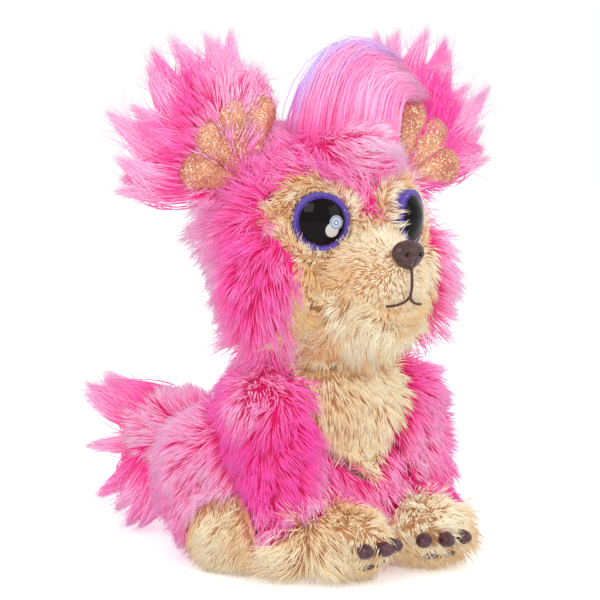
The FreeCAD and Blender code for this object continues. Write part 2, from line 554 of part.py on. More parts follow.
def plush_body(torso):
    """The sewn cover with its bib, the front legs and paws, the thighs and the hind feet."""
    stem_sweep = "2 * (nod_stem / 2 + neck_ball * sin(nod_up * 1 deg) + neck_gap)"
    hollow = fuse("body_hollow", shell_solid("shell_clear", "gap", -1), neck_sphere("neck_hollow", "neck_room"),
                  block("stem_slot", "nod_plate + 2 * neck_gap", stem_sweep, "%g" % FAR, "0", "neck_y", "neck_level"),
                  block("tail_slot_box", "2 * tail_slot", "%g" % FAR, "tail_hub_length + 2 * post_play + 2 * bracket_plate + 2 * gap",
                        "0", "shell_y + %g / 2" % FAR,
                        "tail_level - tail_hub_length / 2 - post_play - bracket_plate - gap"))
    point = block("bib_square", "(bib_top - bib_point) * sqrt(2)", "%g" % FAR, "(bib_top - bib_point) * sqrt(2)")
    place(point, "0", "bib_back - %g" % FAR, "bib_point", Rotation(Y_AXIS, -45))
    band = block("bib_band", "2 * bib_width", "%g" % FAR, "bib_top - bib_point", "0", "bib_back - %g / 2" % FAR, "bib_point")
    top = block("bib_upper", "2 * bib_width", "%g" % FAR, "(bib_top - bib_point) / 2", "0", "bib_back - %g / 2" % FAR,
                "(bib_top + bib_point) / 2")
    shield = fuse("bib_shield", common("bib_lower", point, band), top)
    finish(cut("cover", torso, hollow, shield), "torso_cover")
    finish(cut("bib", common("bib_front", torso, shield), hollow), "chest_bib")
    below = block("floor", "2 * %g" % FAR, "2 * %g" % FAR, "%g" % FAR, z="-%g" % FAR)
    taper = side_taper("leg_taper", -1, "wrist", "shoulder")
    cuff = cuff_side()
    leg = cut("leg", taper, torso, below, cuff)
    foot = cut("foot", egg("foot_egg", "foot_width", "foot_length", "foot_rise", "-foot_x", "foot_y", "foot_level"),
               torso, leg, below)
    thigh = cut("thigh", egg("thigh_egg", "thigh_width", "thigh_depth", "thigh_rise", "-thigh_x", "thigh_y",
                             "thigh_level"), torso, leg, foot, below)
    turned = Rotation(Z_AXIS, size("paw_turn"))
    sole = egg("paw_egg", "paw_width", "paw_length", "paw_rise", "-paw_x", "paw_y", "paw_level", turned)
    paw = cut("paw", chain("paw_form", common("leg_end", taper, cuff), sole), leg, foot, torso, below)
    both_sides("thigh", thigh)
    both_sides("front_leg", leg)
    both_sides("hind_foot", foot)
    both_sides("front_paw", paw)
    turn = "paw_turn * 1 deg"
    claws = []
    for index in (-1, 0, 1):
        across = "%d * claw_spread" % index
        reach = "paw_length * sqrt(1 - (%s / paw_width)^2 - ((claw_level - paw_level) / paw_rise)^2)" % across
        bean = egg("claw_%d" % index, "claw_length", "claw_radius", "claw_radius",
                   "-paw_x + %s * cos(%s) + %s * sin(%s)" % (across, turn, reach, turn),
                   "paw_y + %s * sin(%s) - %s * cos(%s)" % (across, turn, reach, turn), "claw_level",
                   turned * Rotation(Z_AXIS, -90))
        claws.append(cut("claw_cut_%d" % index, bean, paw))
    group = add("Part::Compound", "claws")
    group.Links = claws
    both_sides("claws", group)


# ---------------------------------------------------------------- the head
def head_ball(name, margin="0"):
    return egg(name, "head_width + " + margin, "head_depth + " + margin, "head_rise + " + margin,
               "0", "head_y", "head_level")


def skull_egg(name, inset):
    return egg(name, "head_width - pile - " + inset, "head_depth - pile - " + inset,
               "head_rise - pile - " + inset, "0", "head_y", "head_level")


def head_lumps():
    """The plush head without its openings: ball, jaw and cheeks."""
    cheeks = [egg("cheek_%d" % side, "cheek_width", "cheek_depth", "cheek_rise",
                  "%d * cheek_x" % side, "cheek_y", "cheek_level") for side in (-1, 1)]
    return [head_ball("head_ball"), egg("jaw", "jaw_width", "jaw_depth", "jaw_rise", "0", "jaw_y", "jaw_level")] + cheeks


EAR_MESH_TEETH = 5.5            # the ear pinion meets the lever this many teeth below its middle


def ear_pinion_place():
    """Where the ear pinion sits, and the angle from the right ear's pivot down to it."""
    angle = -EAR_MESH_TEETH * 360 / size("ear_teeth")
    reach = pitch_radius(size("ear_teeth") + size("pinion_teeth"))
    x = -size("ear_x") + reach * math.cos(math.radians(angle))
    return Vector(x, 0, size("ear_level") + reach * math.sin(math.radians(angle))), angle


PLATE_FRONT = "(ear_front + 2 * lever_plate + 2)"


def ear_pockets(name, radius, front, back):
    """Round pockets about the ear pivots."""
    return [rod("%s_%d" % (name, side), radius, "(%s) - (%s)" % (back, front), "%d * ear_x" % side, front,
                "ear_level", ALONG_Y) for side in (-1, 1)]


def plate_clearance(name):
    """Room for the ear plate where it passes through the skull and the hood."""
    return block(name, "2 * ear_x", "ear_plate + 2 * gap", "2 * (ear_plate_radius + gap)", "0",
                 PLATE_FRONT + " + ear_plate / 2", "ear_level - ear_plate_radius - gap")


def skull():
    """Two hard halves around the works of the ears, clamped on the arm of the nod gear."""
    outer, inner = skull_egg("skull_outer", "0"), skull_egg("skull_inner", "wall")
    socket = neck_sphere("skull_socket", "neck_ball + neck_gap")
    room = cut("skull_room", inner, neck_sphere("skull_floor", "neck_ball + neck_gap + wall"))
    bosses, holes = joining_screws("skull_screws", "head_y", (("-46", "168"), ("46", "168"), ("-46", "189"),
                                                             ("46", "189")), room)
    plate_back = PLATE_FRONT + " + ear_plate"
    plate_bosses = common("plate_bosses", fuse("plate_rods", *[
        rod("plate_boss_%d" % side, "boss_radius", "%g" % FAR, "%d * ear_x / 2" % side, plate_back, "ear_level",
            ALONG_Y) for side in (-1, 1)]), room)
    plate_holes = [rod("plate_hole_%d" % side, "screw_radius + fit", "10", "%d * ear_x / 2" % side, plate_back,
                       "ear_level", ALONG_Y) for side in (-1, 1)]
    stem = block("stem_hole", "nod_plate + 2 * fit", "nod_stem + 2 * fit", "6 * wall", "0", "neck_y",
                 "neck_level + neck_ball - wall")
    pockets = ear_pockets("skull_pocket", "ear_pocket", "ear_front - 5", plate_back + " + gap")
    pockets.append(plate_clearance("skull_plate_slot"))
    solid = fuse("skull_all", cut("skull_walls", outer, room, socket), bosses, plate_bosses)
    halves("skull", cut("skull_cut", solid, stem, *(pockets + holes + plate_holes)), "head_y")
    return outer


def nod_gear():
    """The toothed arm that carries the skull on the axle."""
    teeth = int(size("nod_teeth"))
    below, reach = round(teeth * 0.75), 4
    thick, hub = size("nod_plate"), size("nod_hub_length")
    arm = gear(teeth, below - reach, below + reach, thick, size("nod_hub"))
    top = size("neck_ball") + size("neck_gap") + size("wall")
    stem = size("nod_stem")
    arm = arm.fuse(Part.makeBox(stem, top, thick, Vector(-stem / 2, 0, 0)))
    arm = arm.fuse(Part.makeCylinder(size("nod_hub"), hub, Vector(0, 0, (thick - hub) / 2)))
    flange = Part.makeCylinder(size("nod_flange"), size("nod_flange_plate"), Vector(0, top, thick / 2), Y_AXIS)
    bore = Part.makeCylinder(size("pin_radius") + size("fit"), 2 * hub, Vector(0, 0, -hub))
    place_at = Vector(-thick / 2, size("neck_y"), size("neck_level"))
    finish(made("nod_gear", arm.fuse(flange).cut(bore).removeSplitter(), Placement(place_at, YZ_PLANE)), "nod_gear")


def head_works():
    """The plate that carries the ear pins and the ear motor, inside the skull."""
    centre, angle = ear_pinion_place()
    front, thick = PLATE_FRONT, "ear_plate"
    bar = block("plate_bar", "2 * ear_x", thick, "2 * ear_plate_radius", "0", front + " + ear_plate / 2",
                "ear_level - ear_plate_radius")
    ends = ear_pockets("plate_end", "ear_plate_radius", front, front + " + " + thick)
    foot = block("plate_foot", "2 * motor_radius + 4", thick, "ear_plate_foot", "%g" % centre.x,
                 front + " + ear_plate / 2", "ear_level - ear_plate_foot - 6")
    holes = ear_pockets("plate_bore", "pin_radius + fit", front, front + " + " + thick)
    for side in (-1, 1):
        x = "%d * ear_x / 2" % side
        holes.append(rod("plate_screw_bore_%d" % side, "screw_radius + fit", thick, x, front, "ear_level", ALONG_Y))
        holes.append(rod("plate_screw_sink_%d" % side, "screw_head + fit", "1.6", x, front, "ear_level", ALONG_Y))
    holes.append(rod("plate_shaft_hole", "shaft_hole", thick, "%g" % centre.x, front, "%g" % centre.z, ALONG_Y))
    finish(cut("ear_plate", fuse("ear_plate_all", bar, foot, *ends), *holes), "ear_plate")
    screws, pins = [], []
    for side in (-1, 1):
        x = "%d * ear_x / 2" % side
        screws.append(fuse("plate_screw_%d" % side,
                           rod("plate_screw_head_%d" % side, "screw_head", "1.6", x, front, "ear_level", ALONG_Y),
                           rod("plate_screw_shaft_%d" % side, "screw_radius", "11", x, front, "ear_level", ALONG_Y)))
    for side, shaft, head in zip((-1, 1),
                                 ear_pockets("ear_pin_shaft", "pin_radius", "ear_front - gap", front + " + " + thick),
                                 ear_pockets("ear_pin_head", "pin_head", "ear_front - gap - pin_head_plate",
                                             "ear_front - gap")):
        pins.append(fuse("ear_pin_%d" % side, shaft, head))
    finish(add("Part::Compound", "ear_plate_screws"), "ear_plate_screws").Links = screws
    finish(add("Part::Compound", "ear_pins"), "ear_pins").Links = pins
    back = size("ear_front") + 2 * size("lever_plate") + 2 + size("ear_plate")
    front_face = size("ear_front") + size("lever_plate") + size("gap") + size("pinion_length")
    motor("ear_motor", Vector(centre.x, back, centre.z), Rotation(Z_AXIS, -Y_AXIS),
          back - front_face + size("pinion_length"))
    pinion("ear_pinion", Vector(centre.x, front_face, centre.z), XZ_PLANE, 180 + angle)


def plush_head(lumps, skull_outer):
    """The pink hood, the cream face, muzzle, nose, stitched mouth, eyes and crest."""
    below = "%g" % FAR
    eyes_mask = [rod("brow_%d" % side, "brow_radius", below, "%d * brow_x" % side, "face_back - " + below,
                     "brow_level", ALONG_Y) for side in (-1, 1)]
    middle = block("face_column", "2 * face_width", below, "brow_level - jaw_level + jaw_rise", "0",
                   "face_back - %s / 2" % below, "jaw_level - jaw_rise")
    chin = block("chin_column", "2 * (jaw_width + 1)", below, "jaw_rise + 4", "0", "face_back - %s / 2" % below,
                 "jaw_level - jaw_rise")
    mask = fuse("face_mask", middle, chin, *eyes_mask)
    form = chain("head_form", *lumps)
    hollow = fuse("head_hollow", skull_egg("skull_clear", "(0 - gap)"),
                  neck_sphere("head_socket", "neck_ball + neck_gap"))
    works = ear_pockets("hood_pocket", "ear_pocket", "ear_front - petal_plate - gap",
                        "ear_front + fluff_plate + gap")
    works.append(plate_clearance("hood_plate_slot"))
    bare = cut("head_bare", chain("head_walls", *[cut("head_wall_%d" % index, lump, hollow)
                                                  for index, lump in enumerate(lumps)]), *works)
    finish(cut("hood", bare, mask), "head_hood")
    muzzle = cut("muzzle_cap", egg("muzzle_egg", "muzzle_width", "muzzle_depth", "muzzle_rise",
                                   "0", "muzzle_y", "muzzle_level"), form)
    nose = egg("nose_egg", "nose_width", "nose_depth", "nose_rise", "0", "nose_y", "nose_level")
    nostrils = [ball("nostril_%d" % side, "nostril", "%d * nose_width / 2" % side, "nose_y - nose_depth",
                     "nose_level - nostril / 2") for side in (-1, 1)]
    cups = eyes(skull_outer)
    finish(cut("face", common("face_front", bare, mask), *cups), "face_panel")
    finish(muzzle, "muzzle")
    finish(cut("nose", nose, muzzle, *nostrils), "nose")
    stitch = mouth_line()
    finish(cut("mouth", stitch, egg("muzzle_core", "muzzle_width", "muzzle_depth", "muzzle_rise",
                                    "0", "muzzle_y", "muzzle_level"), form, nose), "mouth_stitch")
    crest(form)


def eyes(skull_outer):
    """Each eye is a cup standing on the skull, an iris disc and a domed lens."""
    radius, rim, dome, disc = (size(k) for k in ("eye_radius", "eye_rim", "eye_dome", "iris_thick"))
    depth, long = 4.0, 26.0
    splay = math.radians(size("eye_splay"))
    direction = Vector(-math.sin(splay), -math.cos(splay), 0)
    where = Placement(Vector(-size("eye_x"), size("eye_y"), size("eye_level")), Rotation(Z_AXIS, direction))
    tube = Part.makeCylinder(radius + rim, long, Vector(0, 0, -long))
    tube = tube.cut(Part.makeCylinder(radius + size("fit"), depth + disc, Vector(0, 0, -depth - disc)))
    solid = made("eye_cup_tube", tube, where)
    plug = made("eye_plug", Part.makeCylinder(radius + rim, 2 * long, Vector(0, 0, -long)), where)
    iris = made("iris_disc", Part.makeCylinder(radius, disc, Vector(0, 0, -depth - disc)), where)
    cap_radius = (radius ** 2 + dome ** 2) / 2 / dome
    cap = Part.makeSphere(cap_radius, Vector(0, 0, dome - cap_radius))
    cap = cap.common(Part.makeCylinder(radius, dome))
    lens = made("eye_lens_shape", Part.makeCylinder(radius, depth, Vector(0, 0, -depth)).fuse(cap), where)
    both_sides("eye_cup", cut("eye_cup", solid, skull_outer))
    both_sides("iris", iris)
    both_sides("eye_lens", lens)
    return [plug, mirrored("eye_plug_mirror", plug)]


def on_muzzle(x, z):
    """A point on the front of the muzzle."""
    across = (x / size("muzzle_width")) ** 2 + ((z - size("muzzle_level")) / size("muzzle_rise")) ** 2
    return Vector(x, size("muzzle_y") - size("muzzle_depth") * math.sqrt(1 - across), z)


def mouth_line():
    """One upright line of thread below the nose and a curve to each side of it."""
    radius, drop, width = size("stitch_radius"), size("mouth_drop"), size("mouth_width")
    top = size("nose_level") - size("nose_rise") + 1
    low = top - drop
    line = [on_muzzle(0, top - drop * i / 3) for i in range(4)]
    runs = [line]
    for side in (-1, 1):
        turns = [math.radians(22 * i) for i in range(5)]
        runs.append([on_muzzle(side * width * (1 - math.cos(turn)), low - width / 2 * math.sin(turn))
                     for turn in turns])
    pieces = []
    for run in runs:
        for start, end in zip(run, run[1:]):
            pieces.append(Part.makeCylinder(radius, (end - start).Length, start, end - start))
            pieces.append(Part.makeSphere(radius, end))
    return made("stitches", pieces[0].multiFuse(pieces[1:]))


def crest(form):
    """A tuft of long hair that sweeps up and over to the left ear."""
    base = egg("crest_base", "crest_width", "crest_depth", "crest_rise", "0", "crest_y", "crest_level")
    start = Vector(0, size("crest_y"), size("crest_level"))
    radius, high = size("crest_lock"), size("crest_level")
    locks = []
    for index, (x, y, z) in enumerate(((-20, -18, 34), (0, -15, 66), (22, -14, 62), (44, -13, 50), (64, -12, 34))):
        foot = start + Vector(x * 0.25, 0, 4)
        tip = Vector(x, y, high + z)
        run = tip - foot
        locks.append(made("crest_lock_%d" % index, Part.makeCone(radius, size("lock_tip"), run.Length, foot, run)))
    plume = egg("crest_plume", "plume_width", "plume_depth", "plume_rise", "plume_x", "crest_y + 3", "plume_level",
                Rotation(Y_AXIS, size("plume_lean")))
    finish(cut("crest", chain("crest_all", base, plume, *locks), form), "crest")


# ---------------------------------------------------------------- the ears
def ear_direction(degrees):
    """A direction in the plane of the right ear, from straight outward up to straight up."""
    return Vector(-math.cos(math.radians(degrees)), 0, math.sin(math.radians(degrees)))


def petals(name, angles, start, reach, root, radius, ends=True):
    """Tapered lobes that fan out from the right ear's pivot."""
    items = []
    for index, angle in enumerate(angles):
        label = "%s_%d" % (name, index)
        cone = bind(add("Part::Cone", label), Radius1=root, Radius2=radius, Height="%s - %s" % (reach, start))
        where = ["-(ear_x + %s * cos(%g * 1 deg))" % (start, angle), "0", "ear_level + %s * sin(%g * 1 deg)" % (start, angle)]
        items.append(place(cone, *where, turn=Rotation(Z_AXIS, ear_direction(angle))))
        if ends:
            items.append(ball(label + "_end", radius, "-(ear_x + %s * cos(%g * 1 deg))" % (reach, angle), "0",
                              "ear_level + %s * sin(%g * 1 deg)" % (reach, angle)))
    return items


PETALS = 4                      # lobes of one stiff fan
EAR_LOCKS, LOCK_FIRST, LOCK_STEP = 9, -6.0, 14.5


def ears():
    """Each ear: a geared lever on its pin, a stiff gilt fan, and long fluff behind it."""
    swing = size("ear_swing")
    keep_out = []
    for index, share in enumerate((-1, -0.5, 0, 0.5, 1)):
        keep_out.append(swung("keep_out_%d" % index, share * swing))
    clear_hub = rod("ear_hub_clear", "ear_hub + 3", "2 * %g" % FAR, "-ear_x", "-%g" % FAR, "ear_level", ALONG_Y)
    clear_pocket = rod("ear_pocket_clear", "ear_pocket - gap", "2 * %g" % FAR, "-ear_x", "-%g" % FAR, "ear_level",
                       ALONG_Y)
    right, left = ear_levers()
    slab = block("shell_slab", "2 * %g" % FAR, "petal_plate", "4 * %g" % FAR, "0", "ear_front - petal_plate / 2",
                 "-%g" % FAR)
    spokes = [size("petal_first") + size("petal_step") * index for index in range(PETALS)]
    fan = common("fan", fuse("fan_petals", *petals("petal", spokes, "0", "petal_reach", "petal_root",
                                                   "petal_radius")), slab)
    both_sides("ear_shell", cut("ear_shell", fan, clear_hub, *keep_out))
    deep = block("fluff_slab", "2 * %g" % FAR, "fluff_plate", "4 * %g" % FAR, "0", "ear_front + fluff_plate / 2",
                 "-%g" % FAR)
    core = petals("fluff", spokes, "0", "fluff_reach", "fluff_root", "fluff_radius")
    locks = petals("lock", [LOCK_FIRST + LOCK_STEP * index for index in range(EAR_LOCKS)], "lock_start",
                   "lock_reach", "lock_radius", "lock_tip", ends=False)
    for item in core + locks:
        item.setExpression("Placement.Base.y", formula("ear_front + fluff_plate / 3"))
    fluff = common("fluff", fuse("fluff_all", *(core + locks)), deep)
    finish(cut("fluff_right", fluff, clear_pocket, right, *keep_out), "ear_fluff_right")
    finish(cut("fluff_left", mirrored("fluff_mirror", cut("fluff_base", fluff, clear_pocket, *keep_out)), left),
           "ear_fluff_left")


def swung(name, degrees):
    """The head ball as the right ear sees it when it has turned the other way."""
    ball_shape = head_ball(name + "_ball", "gap")
    doc.recompute()
    shape = ball_shape.Shape.copy()
    shape.rotate(Vector(-size("ear_x"), 0, size("ear_level")), Y_AXIS, degrees)
    return made(name, shape)


def ear_levers():
    """Two levers whose teeth meet on the middle line; the right one also meets the pinion, behind."""
    teeth, thick = int(size("ear_teeth")), size("lever_plate")
    hub, bar, wide = size("ear_hub"), size("ear_stub"), size("ear_stub_width")
    bore = Part.makeCylinder(size("pin_radius") + size("fit"), 4 * thick, Vector(0, 0, -thick))
    middle = size("petal_first") + (PETALS - 2) * size("petal_step")
    levers = {}
    for name, side in SIDES.items():
        if side < 0:
            arm = gear(teeth, -3, 3, thick)
            arm.translate(Vector(0, 0, thick))
            arm = arm.fuse(gear(teeth, -9, -2, thick))
            front = thick
        else:
            half = teeth // 2
            arm = gear(teeth, half - 3, half + 2, thick - size("gap"), phase=180 / teeth)
            arm.translate(Vector(0, 0, thick + size("gap")))
            front = thick + size("gap")
        stub = Part.makeBox(bar, wide, 2 * thick - front, Vector(0, -wide / 2, front))
        stub.rotate(Vector(), Z_AXIS, 180 - middle if side < 0 else middle)
        arm = arm.fuse(stub).fuse(Part.makeCylinder(hub, 2 * thick)).cut(bore).removeSplitter()
        back = Vector(side * size("ear_x"), size("ear_front") + 2 * thick, size("ear_level"))
        levers[name] = finish(made("lever_" + name, arm, Placement(back, XZ_PLANE)), "ear_lever_" + name)
    return levers["right"], levers["left"]


# ---------------------------------------------------------------- the tail
TAIL_LOCKS, TAIL_FAN = 7, 75    # how many locks, and how far the fan opens above and below level


def tail():
    """The geared arm on its upright pin and the bushy tail around it, swung a little to the right."""
    teeth, thick, rest = int(size("tail_teeth")), size("tail_plate"), math.radians(size("tail_rest"))
    arm = gear(teeth, -11, -4, thick, size("tail_hub"))
    hub = Part.makeCylinder(size("tail_hub"), size("tail_hub_length"), Vector(0, 0, (thick - size("tail_hub_length")) / 2))
    direction = Vector(-math.sin(rest), math.cos(rest), 0)
    bar = Part.makeCylinder(size("tail_bar"), size("tail_bar_length"), Vector(0, 0, thick / 2), direction)
    slab = Part.makeBox(FAR, FAR, size("tail_hub_length"),
                        Vector(-FAR / 2, -FAR / 2, (thick - size("tail_hub_length")) / 2))
    near = bar.common(slab)
    bore = Part.makeCylinder(size("pin_radius") + size("fit"), 4 * thick, Vector(0, 0, -thick))
    shape = arm.fuse(hub).fuse(near).cut(bore).removeSplitter()
    where = Placement(Vector(0, size("tail_y"), size("tail_level") - thick / 2), Rotation())
    finish(made("tail_arm", shape, where), "tail_arm")
    body = ball("tail_ball", "tail_ball", "-tail_middle * sin(tail_rest * 1 deg)",
                "tail_y + tail_middle * cos(tail_rest * 1 deg)", "tail_level")
    middle = Vector(0, size("tail_y"), size("tail_level")) + direction * size("tail_middle")
    locks = []
    for index in range(TAIL_LOCKS):
        angle = math.radians(TAIL_FAN * (2 * index / (TAIL_LOCKS - 1) - 1))
        lean = (direction + X_AXIS * (-0.15 if index % 2 else 0.15)).normalize()
        way = lean * math.cos(angle) + Z_AXIS * math.sin(angle)
        locks.append(made("tail_lock_%d" % index, Part.makeCone(size("tail_lock"), size("lock_tip"),
                                                               size("tail_reach"), middle, way)))
    finish(cut("tail_fluff", chain("tail_all", body, *locks),
               made("tail_arm_tool", shape.copy(), where)), "tail_fluff")


# ---------------------------------------------------------------- build, check and write
def build():
    torso = torso_form()
    body_shell()
    battery_bay()
    electrics()
    plush_body(torso)
    outer = skull()
    nod_gear()
    head_works()
    plush_head(head_lumps(), outer)
    ears()
    tail()
    doc.recompute()


def write_parts():
    """Check every object of the document, then write one STEP file for each sub-part."""
    for item in doc.Objects:
        if {"Invalid", "Error"} & set(item.State):
            raise RuntimeError("%s is %s" % (item.Name, item.State))
    os.makedirs("parts", exist_ok=True)
    for item in finished:
        shape = item.Shape
        if shape.isNull() or not shape.isValid() or not shape.Solids:
            raise RuntimeError("the shape of %s is not sound" % item.Label)
        shape.exportStep(os.path.join("parts", item.Label + ".step"))
        print("%-20s %2d solids %10.1f mm3" % (item.Label, len(shape.Solids), shape.Volume))


build()
write_parts()
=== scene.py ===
# %% [markdown]
# # A sitting plush puppy with works inside
# The toy is a shaggy pink and cream puppy about 30 cm tall.  Its head nods, its ears perk and its
# tail wags.  The hard parts inside come from the CAD model and stay as they are.  The soft parts
# are made here: each is a sewn skin with a pile of real strands on it, because fur is what one sees.

# %% Start: the fixed frame
import json
import math
from collections import namedtuple

import bmesh
import bpy
import numpy as np
from mathutils import Matrix, Vector
from mathutils.bvhtree import BVHTree
from mathutils.kdtree import KDTree

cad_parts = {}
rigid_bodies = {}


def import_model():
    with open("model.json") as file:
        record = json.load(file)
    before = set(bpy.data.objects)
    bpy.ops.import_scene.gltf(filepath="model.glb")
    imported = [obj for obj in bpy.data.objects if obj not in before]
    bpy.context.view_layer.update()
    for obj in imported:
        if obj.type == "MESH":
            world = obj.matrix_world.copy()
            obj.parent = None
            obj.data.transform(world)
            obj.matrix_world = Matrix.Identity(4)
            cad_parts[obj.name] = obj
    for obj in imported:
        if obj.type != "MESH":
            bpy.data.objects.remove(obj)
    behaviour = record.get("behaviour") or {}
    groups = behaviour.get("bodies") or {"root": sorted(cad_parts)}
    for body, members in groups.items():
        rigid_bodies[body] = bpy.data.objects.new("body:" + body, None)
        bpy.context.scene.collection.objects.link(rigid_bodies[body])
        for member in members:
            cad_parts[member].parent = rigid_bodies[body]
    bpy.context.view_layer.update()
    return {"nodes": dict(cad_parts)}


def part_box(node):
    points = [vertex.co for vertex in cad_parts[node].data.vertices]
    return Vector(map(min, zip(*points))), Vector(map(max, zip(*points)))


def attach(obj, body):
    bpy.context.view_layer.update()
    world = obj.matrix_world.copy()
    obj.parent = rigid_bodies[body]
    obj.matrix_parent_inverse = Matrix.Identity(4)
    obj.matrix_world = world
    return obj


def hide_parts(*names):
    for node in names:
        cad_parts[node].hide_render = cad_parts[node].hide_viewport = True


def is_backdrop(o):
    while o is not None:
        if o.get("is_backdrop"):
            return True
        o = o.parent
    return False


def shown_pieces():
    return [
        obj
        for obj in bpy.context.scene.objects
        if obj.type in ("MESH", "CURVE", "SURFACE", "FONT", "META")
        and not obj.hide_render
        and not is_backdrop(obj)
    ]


for stray in list(bpy.data.objects):
    bpy.data.objects.remove(stray)
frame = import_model()
NODES = frame["nodes"]
MM = 0.001

# %% [markdown]
# ## Colours and shader helpers
# Colours are written as the numbers a paint program shows, from 0 to 255, and turned into the
# linear values that the shaders want.  A small helper makes a node, sets its sockets and links it,
# so that every material below reads as a short list of steps.


# %% Colour and node helpers
def paint(red, green, blue):
    """A colour as a paint program shows it, made linear for the shader."""
    def linear(value):
        value /= 255
        return value / 12.92 if value <= 0.04045 else ((value + 0.055) / 1.055) ** 2.4
    return (linear(red), linear(green), linear(blue), 1)


def node(tree, kind, settings=None, **sockets):
    """One shader node.  A socket takes a value, or another node's output to link from."""
    made = tree.nodes.new("ShaderNode" + kind)
    for key, value in (settings or {}).items():
        setattr(made, key, value)
    for key, value in sockets.items():
        socket = made.inputs[int(key[1:])] if key[0] == "i" and key[1:].isdigit() else made.inputs[key]
        if isinstance(value, bpy.types.NodeSocket):
            tree.links.new(value, socket)
        else:
            socket.default_value = value
    return made


def maths(tree, operation, first, second=0.0):
    """One sum on two numbers or outputs."""
    return node(tree, "Math", {"operation": operation}, i0=first, i1=second).outputs[0]


def blend_colours(tree, factor, first, second):
    """The first colour at 0 and the second at 1."""
    return node(tree, "Mix", {"data_type": "RGBA"}, i0=factor, i6=first, i7=second).outputs[2]


def spread(tree, value, low, high, to_low=0.0, to_high=1.0):
    """A value moved from one range to another along a smooth step."""
    made = node(tree, "MapRange", {"interpolation_type": "SMOOTHSTEP"}, i0=value, i1=low, i2=high,
                i3=to_low, i4=to_high)
    return made.outputs[0]


def object_place(tree):
    """Object coordinates, which every pattern reads."""
    return tree.nodes.new("ShaderNodeTexCoord").outputs["Object"]


def material(name, **constants):
    """A new material with its Principled shader; plain numbers are set on the shader's own sockets."""
    made = bpy.data.materials.new(name)
    made.use_nodes = True
    shader = made.node_tree.nodes["Principled BSDF"]
    for key, value in constants.items():
        shader.inputs[key.replace("_", " ")].default_value = value
    return made, made.node_tree, shader


def group(name, inputs, outputs):
    """An empty shader group with named sockets."""
    tree = bpy.data.node_groups.new(name, "ShaderNodeTree")
    for direction, sockets in (("INPUT", inputs), ("OUTPUT", outputs)):
        for label, kind in sockets.items():
            tree.interface.new_socket(label, in_out=direction, socket_type="NodeSocket" + kind)
    return tree, tree.nodes.new("NodeGroupInput").outputs, tree.nodes.new("NodeGroupOutput").inputs


def placed(tree, shared, **values):
    """A shared group placed in a material with its own values."""
    made = tree.nodes.new("ShaderNodeGroup")
    made.node_tree = shared
    for key, value in values.items():
        made.inputs[key].default_value = value
    return made.outputs


def bumped(tree, shader, height, strength, distance):
    """Feed a height into the shader's normal."""
    made = node(tree, "Bump", Strength=strength, Distance=distance, Height=height)
    tree.links.new(made.outputs[0], shader.inputs["Normal"])


# %% [markdown]
# ## Dyed fibre
# Every strand carries its own map.  Up the map runs the strand from root to tip, and across it lies
# the strand's tone, from deep dye to pale.  Frosted plush is dyed that way: deep at the root and
# bleached at the tip, and whole locks come out paler or deeper than their neighbours.

# %% The fibre group and the fibre materials
MAP = "OFBake"
PAINTED_FIBRE_GLOW = 0.16                # painted glow: the strands give off this share of their dye as light, standing in for light scattered back out of the pile
FIBRE, ins, outs = group("fibre_dye", {"Root": "Color", "Deep": "Color", "Pale": "Color", "Reach": "Float"},
                         {"Color": "Color"})
along = FIBRE.nodes.new("ShaderNodeSeparateXYZ")
where = FIBRE.nodes.new("ShaderNodeUVMap")
where.uv_map = MAP
FIBRE.links.new(where.outputs[0], along.inputs[0])
tipped = blend_colours(FIBRE, spread(FIBRE, along.outputs[0], 0.02, 0.98), ins["Deep"], ins["Pale"])
rooted = spread(FIBRE, along.outputs[1], 0.0, ins["Reach"])
FIBRE.links.new(blend_colours(FIBRE, rooted, ins["Root"], tipped), outs["Color"])


def fibre(name, root, deep, pale, reach, roughness=0.62, sheen=0.25):
    """A dyed strand that also glows with its dye, a painted glow for light scattered in the pile.  reach is
    the share of its length over which the root's colour fades.
    """
    made, tree, shader = material(name, Roughness=roughness, Sheen_Weight=sheen, Sheen_Roughness=0.4,
                                  Specular_IOR_Level=0.3, Emission_Strength=PAINTED_FIBRE_GLOW)
    dye = placed(tree, FIBRE, Root=root, Deep=deep, Pale=pale, Reach=reach)
    tree.links.new(dye["Color"], shader.inputs["Base Color"])
    # the dye feeds the emission too: a painted glow, not a lamp
    tree.links.new(dye["Color"], shader.inputs["Emission Color"])
    return made


pink_fibre = fibre("pink_fibre", paint(255, 30, 156), paint(255, 96, 194), paint(255, 214, 240), 0.75)
cream_fibre = fibre("cream_fibre", paint(224, 162, 100), paint(248, 212, 160), paint(255, 246, 220), 0.6)
hair_fibre = fibre("hair_fibre", paint(255, 84, 176), paint(255, 150, 210), paint(255, 214, 240), 0.4,
                   roughness=0.42, sheen=0.1)
lilac_fibre = fibre("lilac_fibre", paint(250, 150, 214), paint(212, 182, 252), paint(228, 208, 255), 0.45,
                    roughness=0.42, sheen=0.1)
print("fibres:", [m.name for m in (pink_fibre, cream_fibre, hair_fibre, lilac_fibre)])


# %% [markdown]
# ## The cloth under the pile
# A plush skin is a knitted backing.  It only shows between the strands, so it takes the colour of
# their roots, with a fine knit in its height.

# %% Backing cloth
def backing(name, colour, deep):
    """A knitted cloth, patchy between two colours."""
    made, tree, shader = material(name, Roughness=0.9, Sheen_Weight=0.3)
    place = object_place(tree)
    patch = node(tree, "TexNoise", Vector=place, Scale=120.0, Detail=4.0).outputs[0]
    patched = blend_colours(tree, spread(tree, patch, 0.35, 0.65), deep, colour)
    tree.links.new(patched, shader.inputs["Base Color"])
    knit = node(tree, "TexVoronoi", Vector=place, Scale=1100.0).outputs["Distance"]
    bumped(tree, shader, knit, 0.6, 0.0006)
    return made


pink_backing = backing("pink_backing", paint(255, 30, 150), paint(235, 10, 130))
cream_backing = backing("cream_backing", paint(246, 206, 158), paint(232, 184, 132))

# %% [markdown]
# ## What is covered
# Strands grow only where the pile is open to the air.  One search tree over all the CAD solids says
# whether something lies just above a point: then the pile there is sewn in or pressed flat.

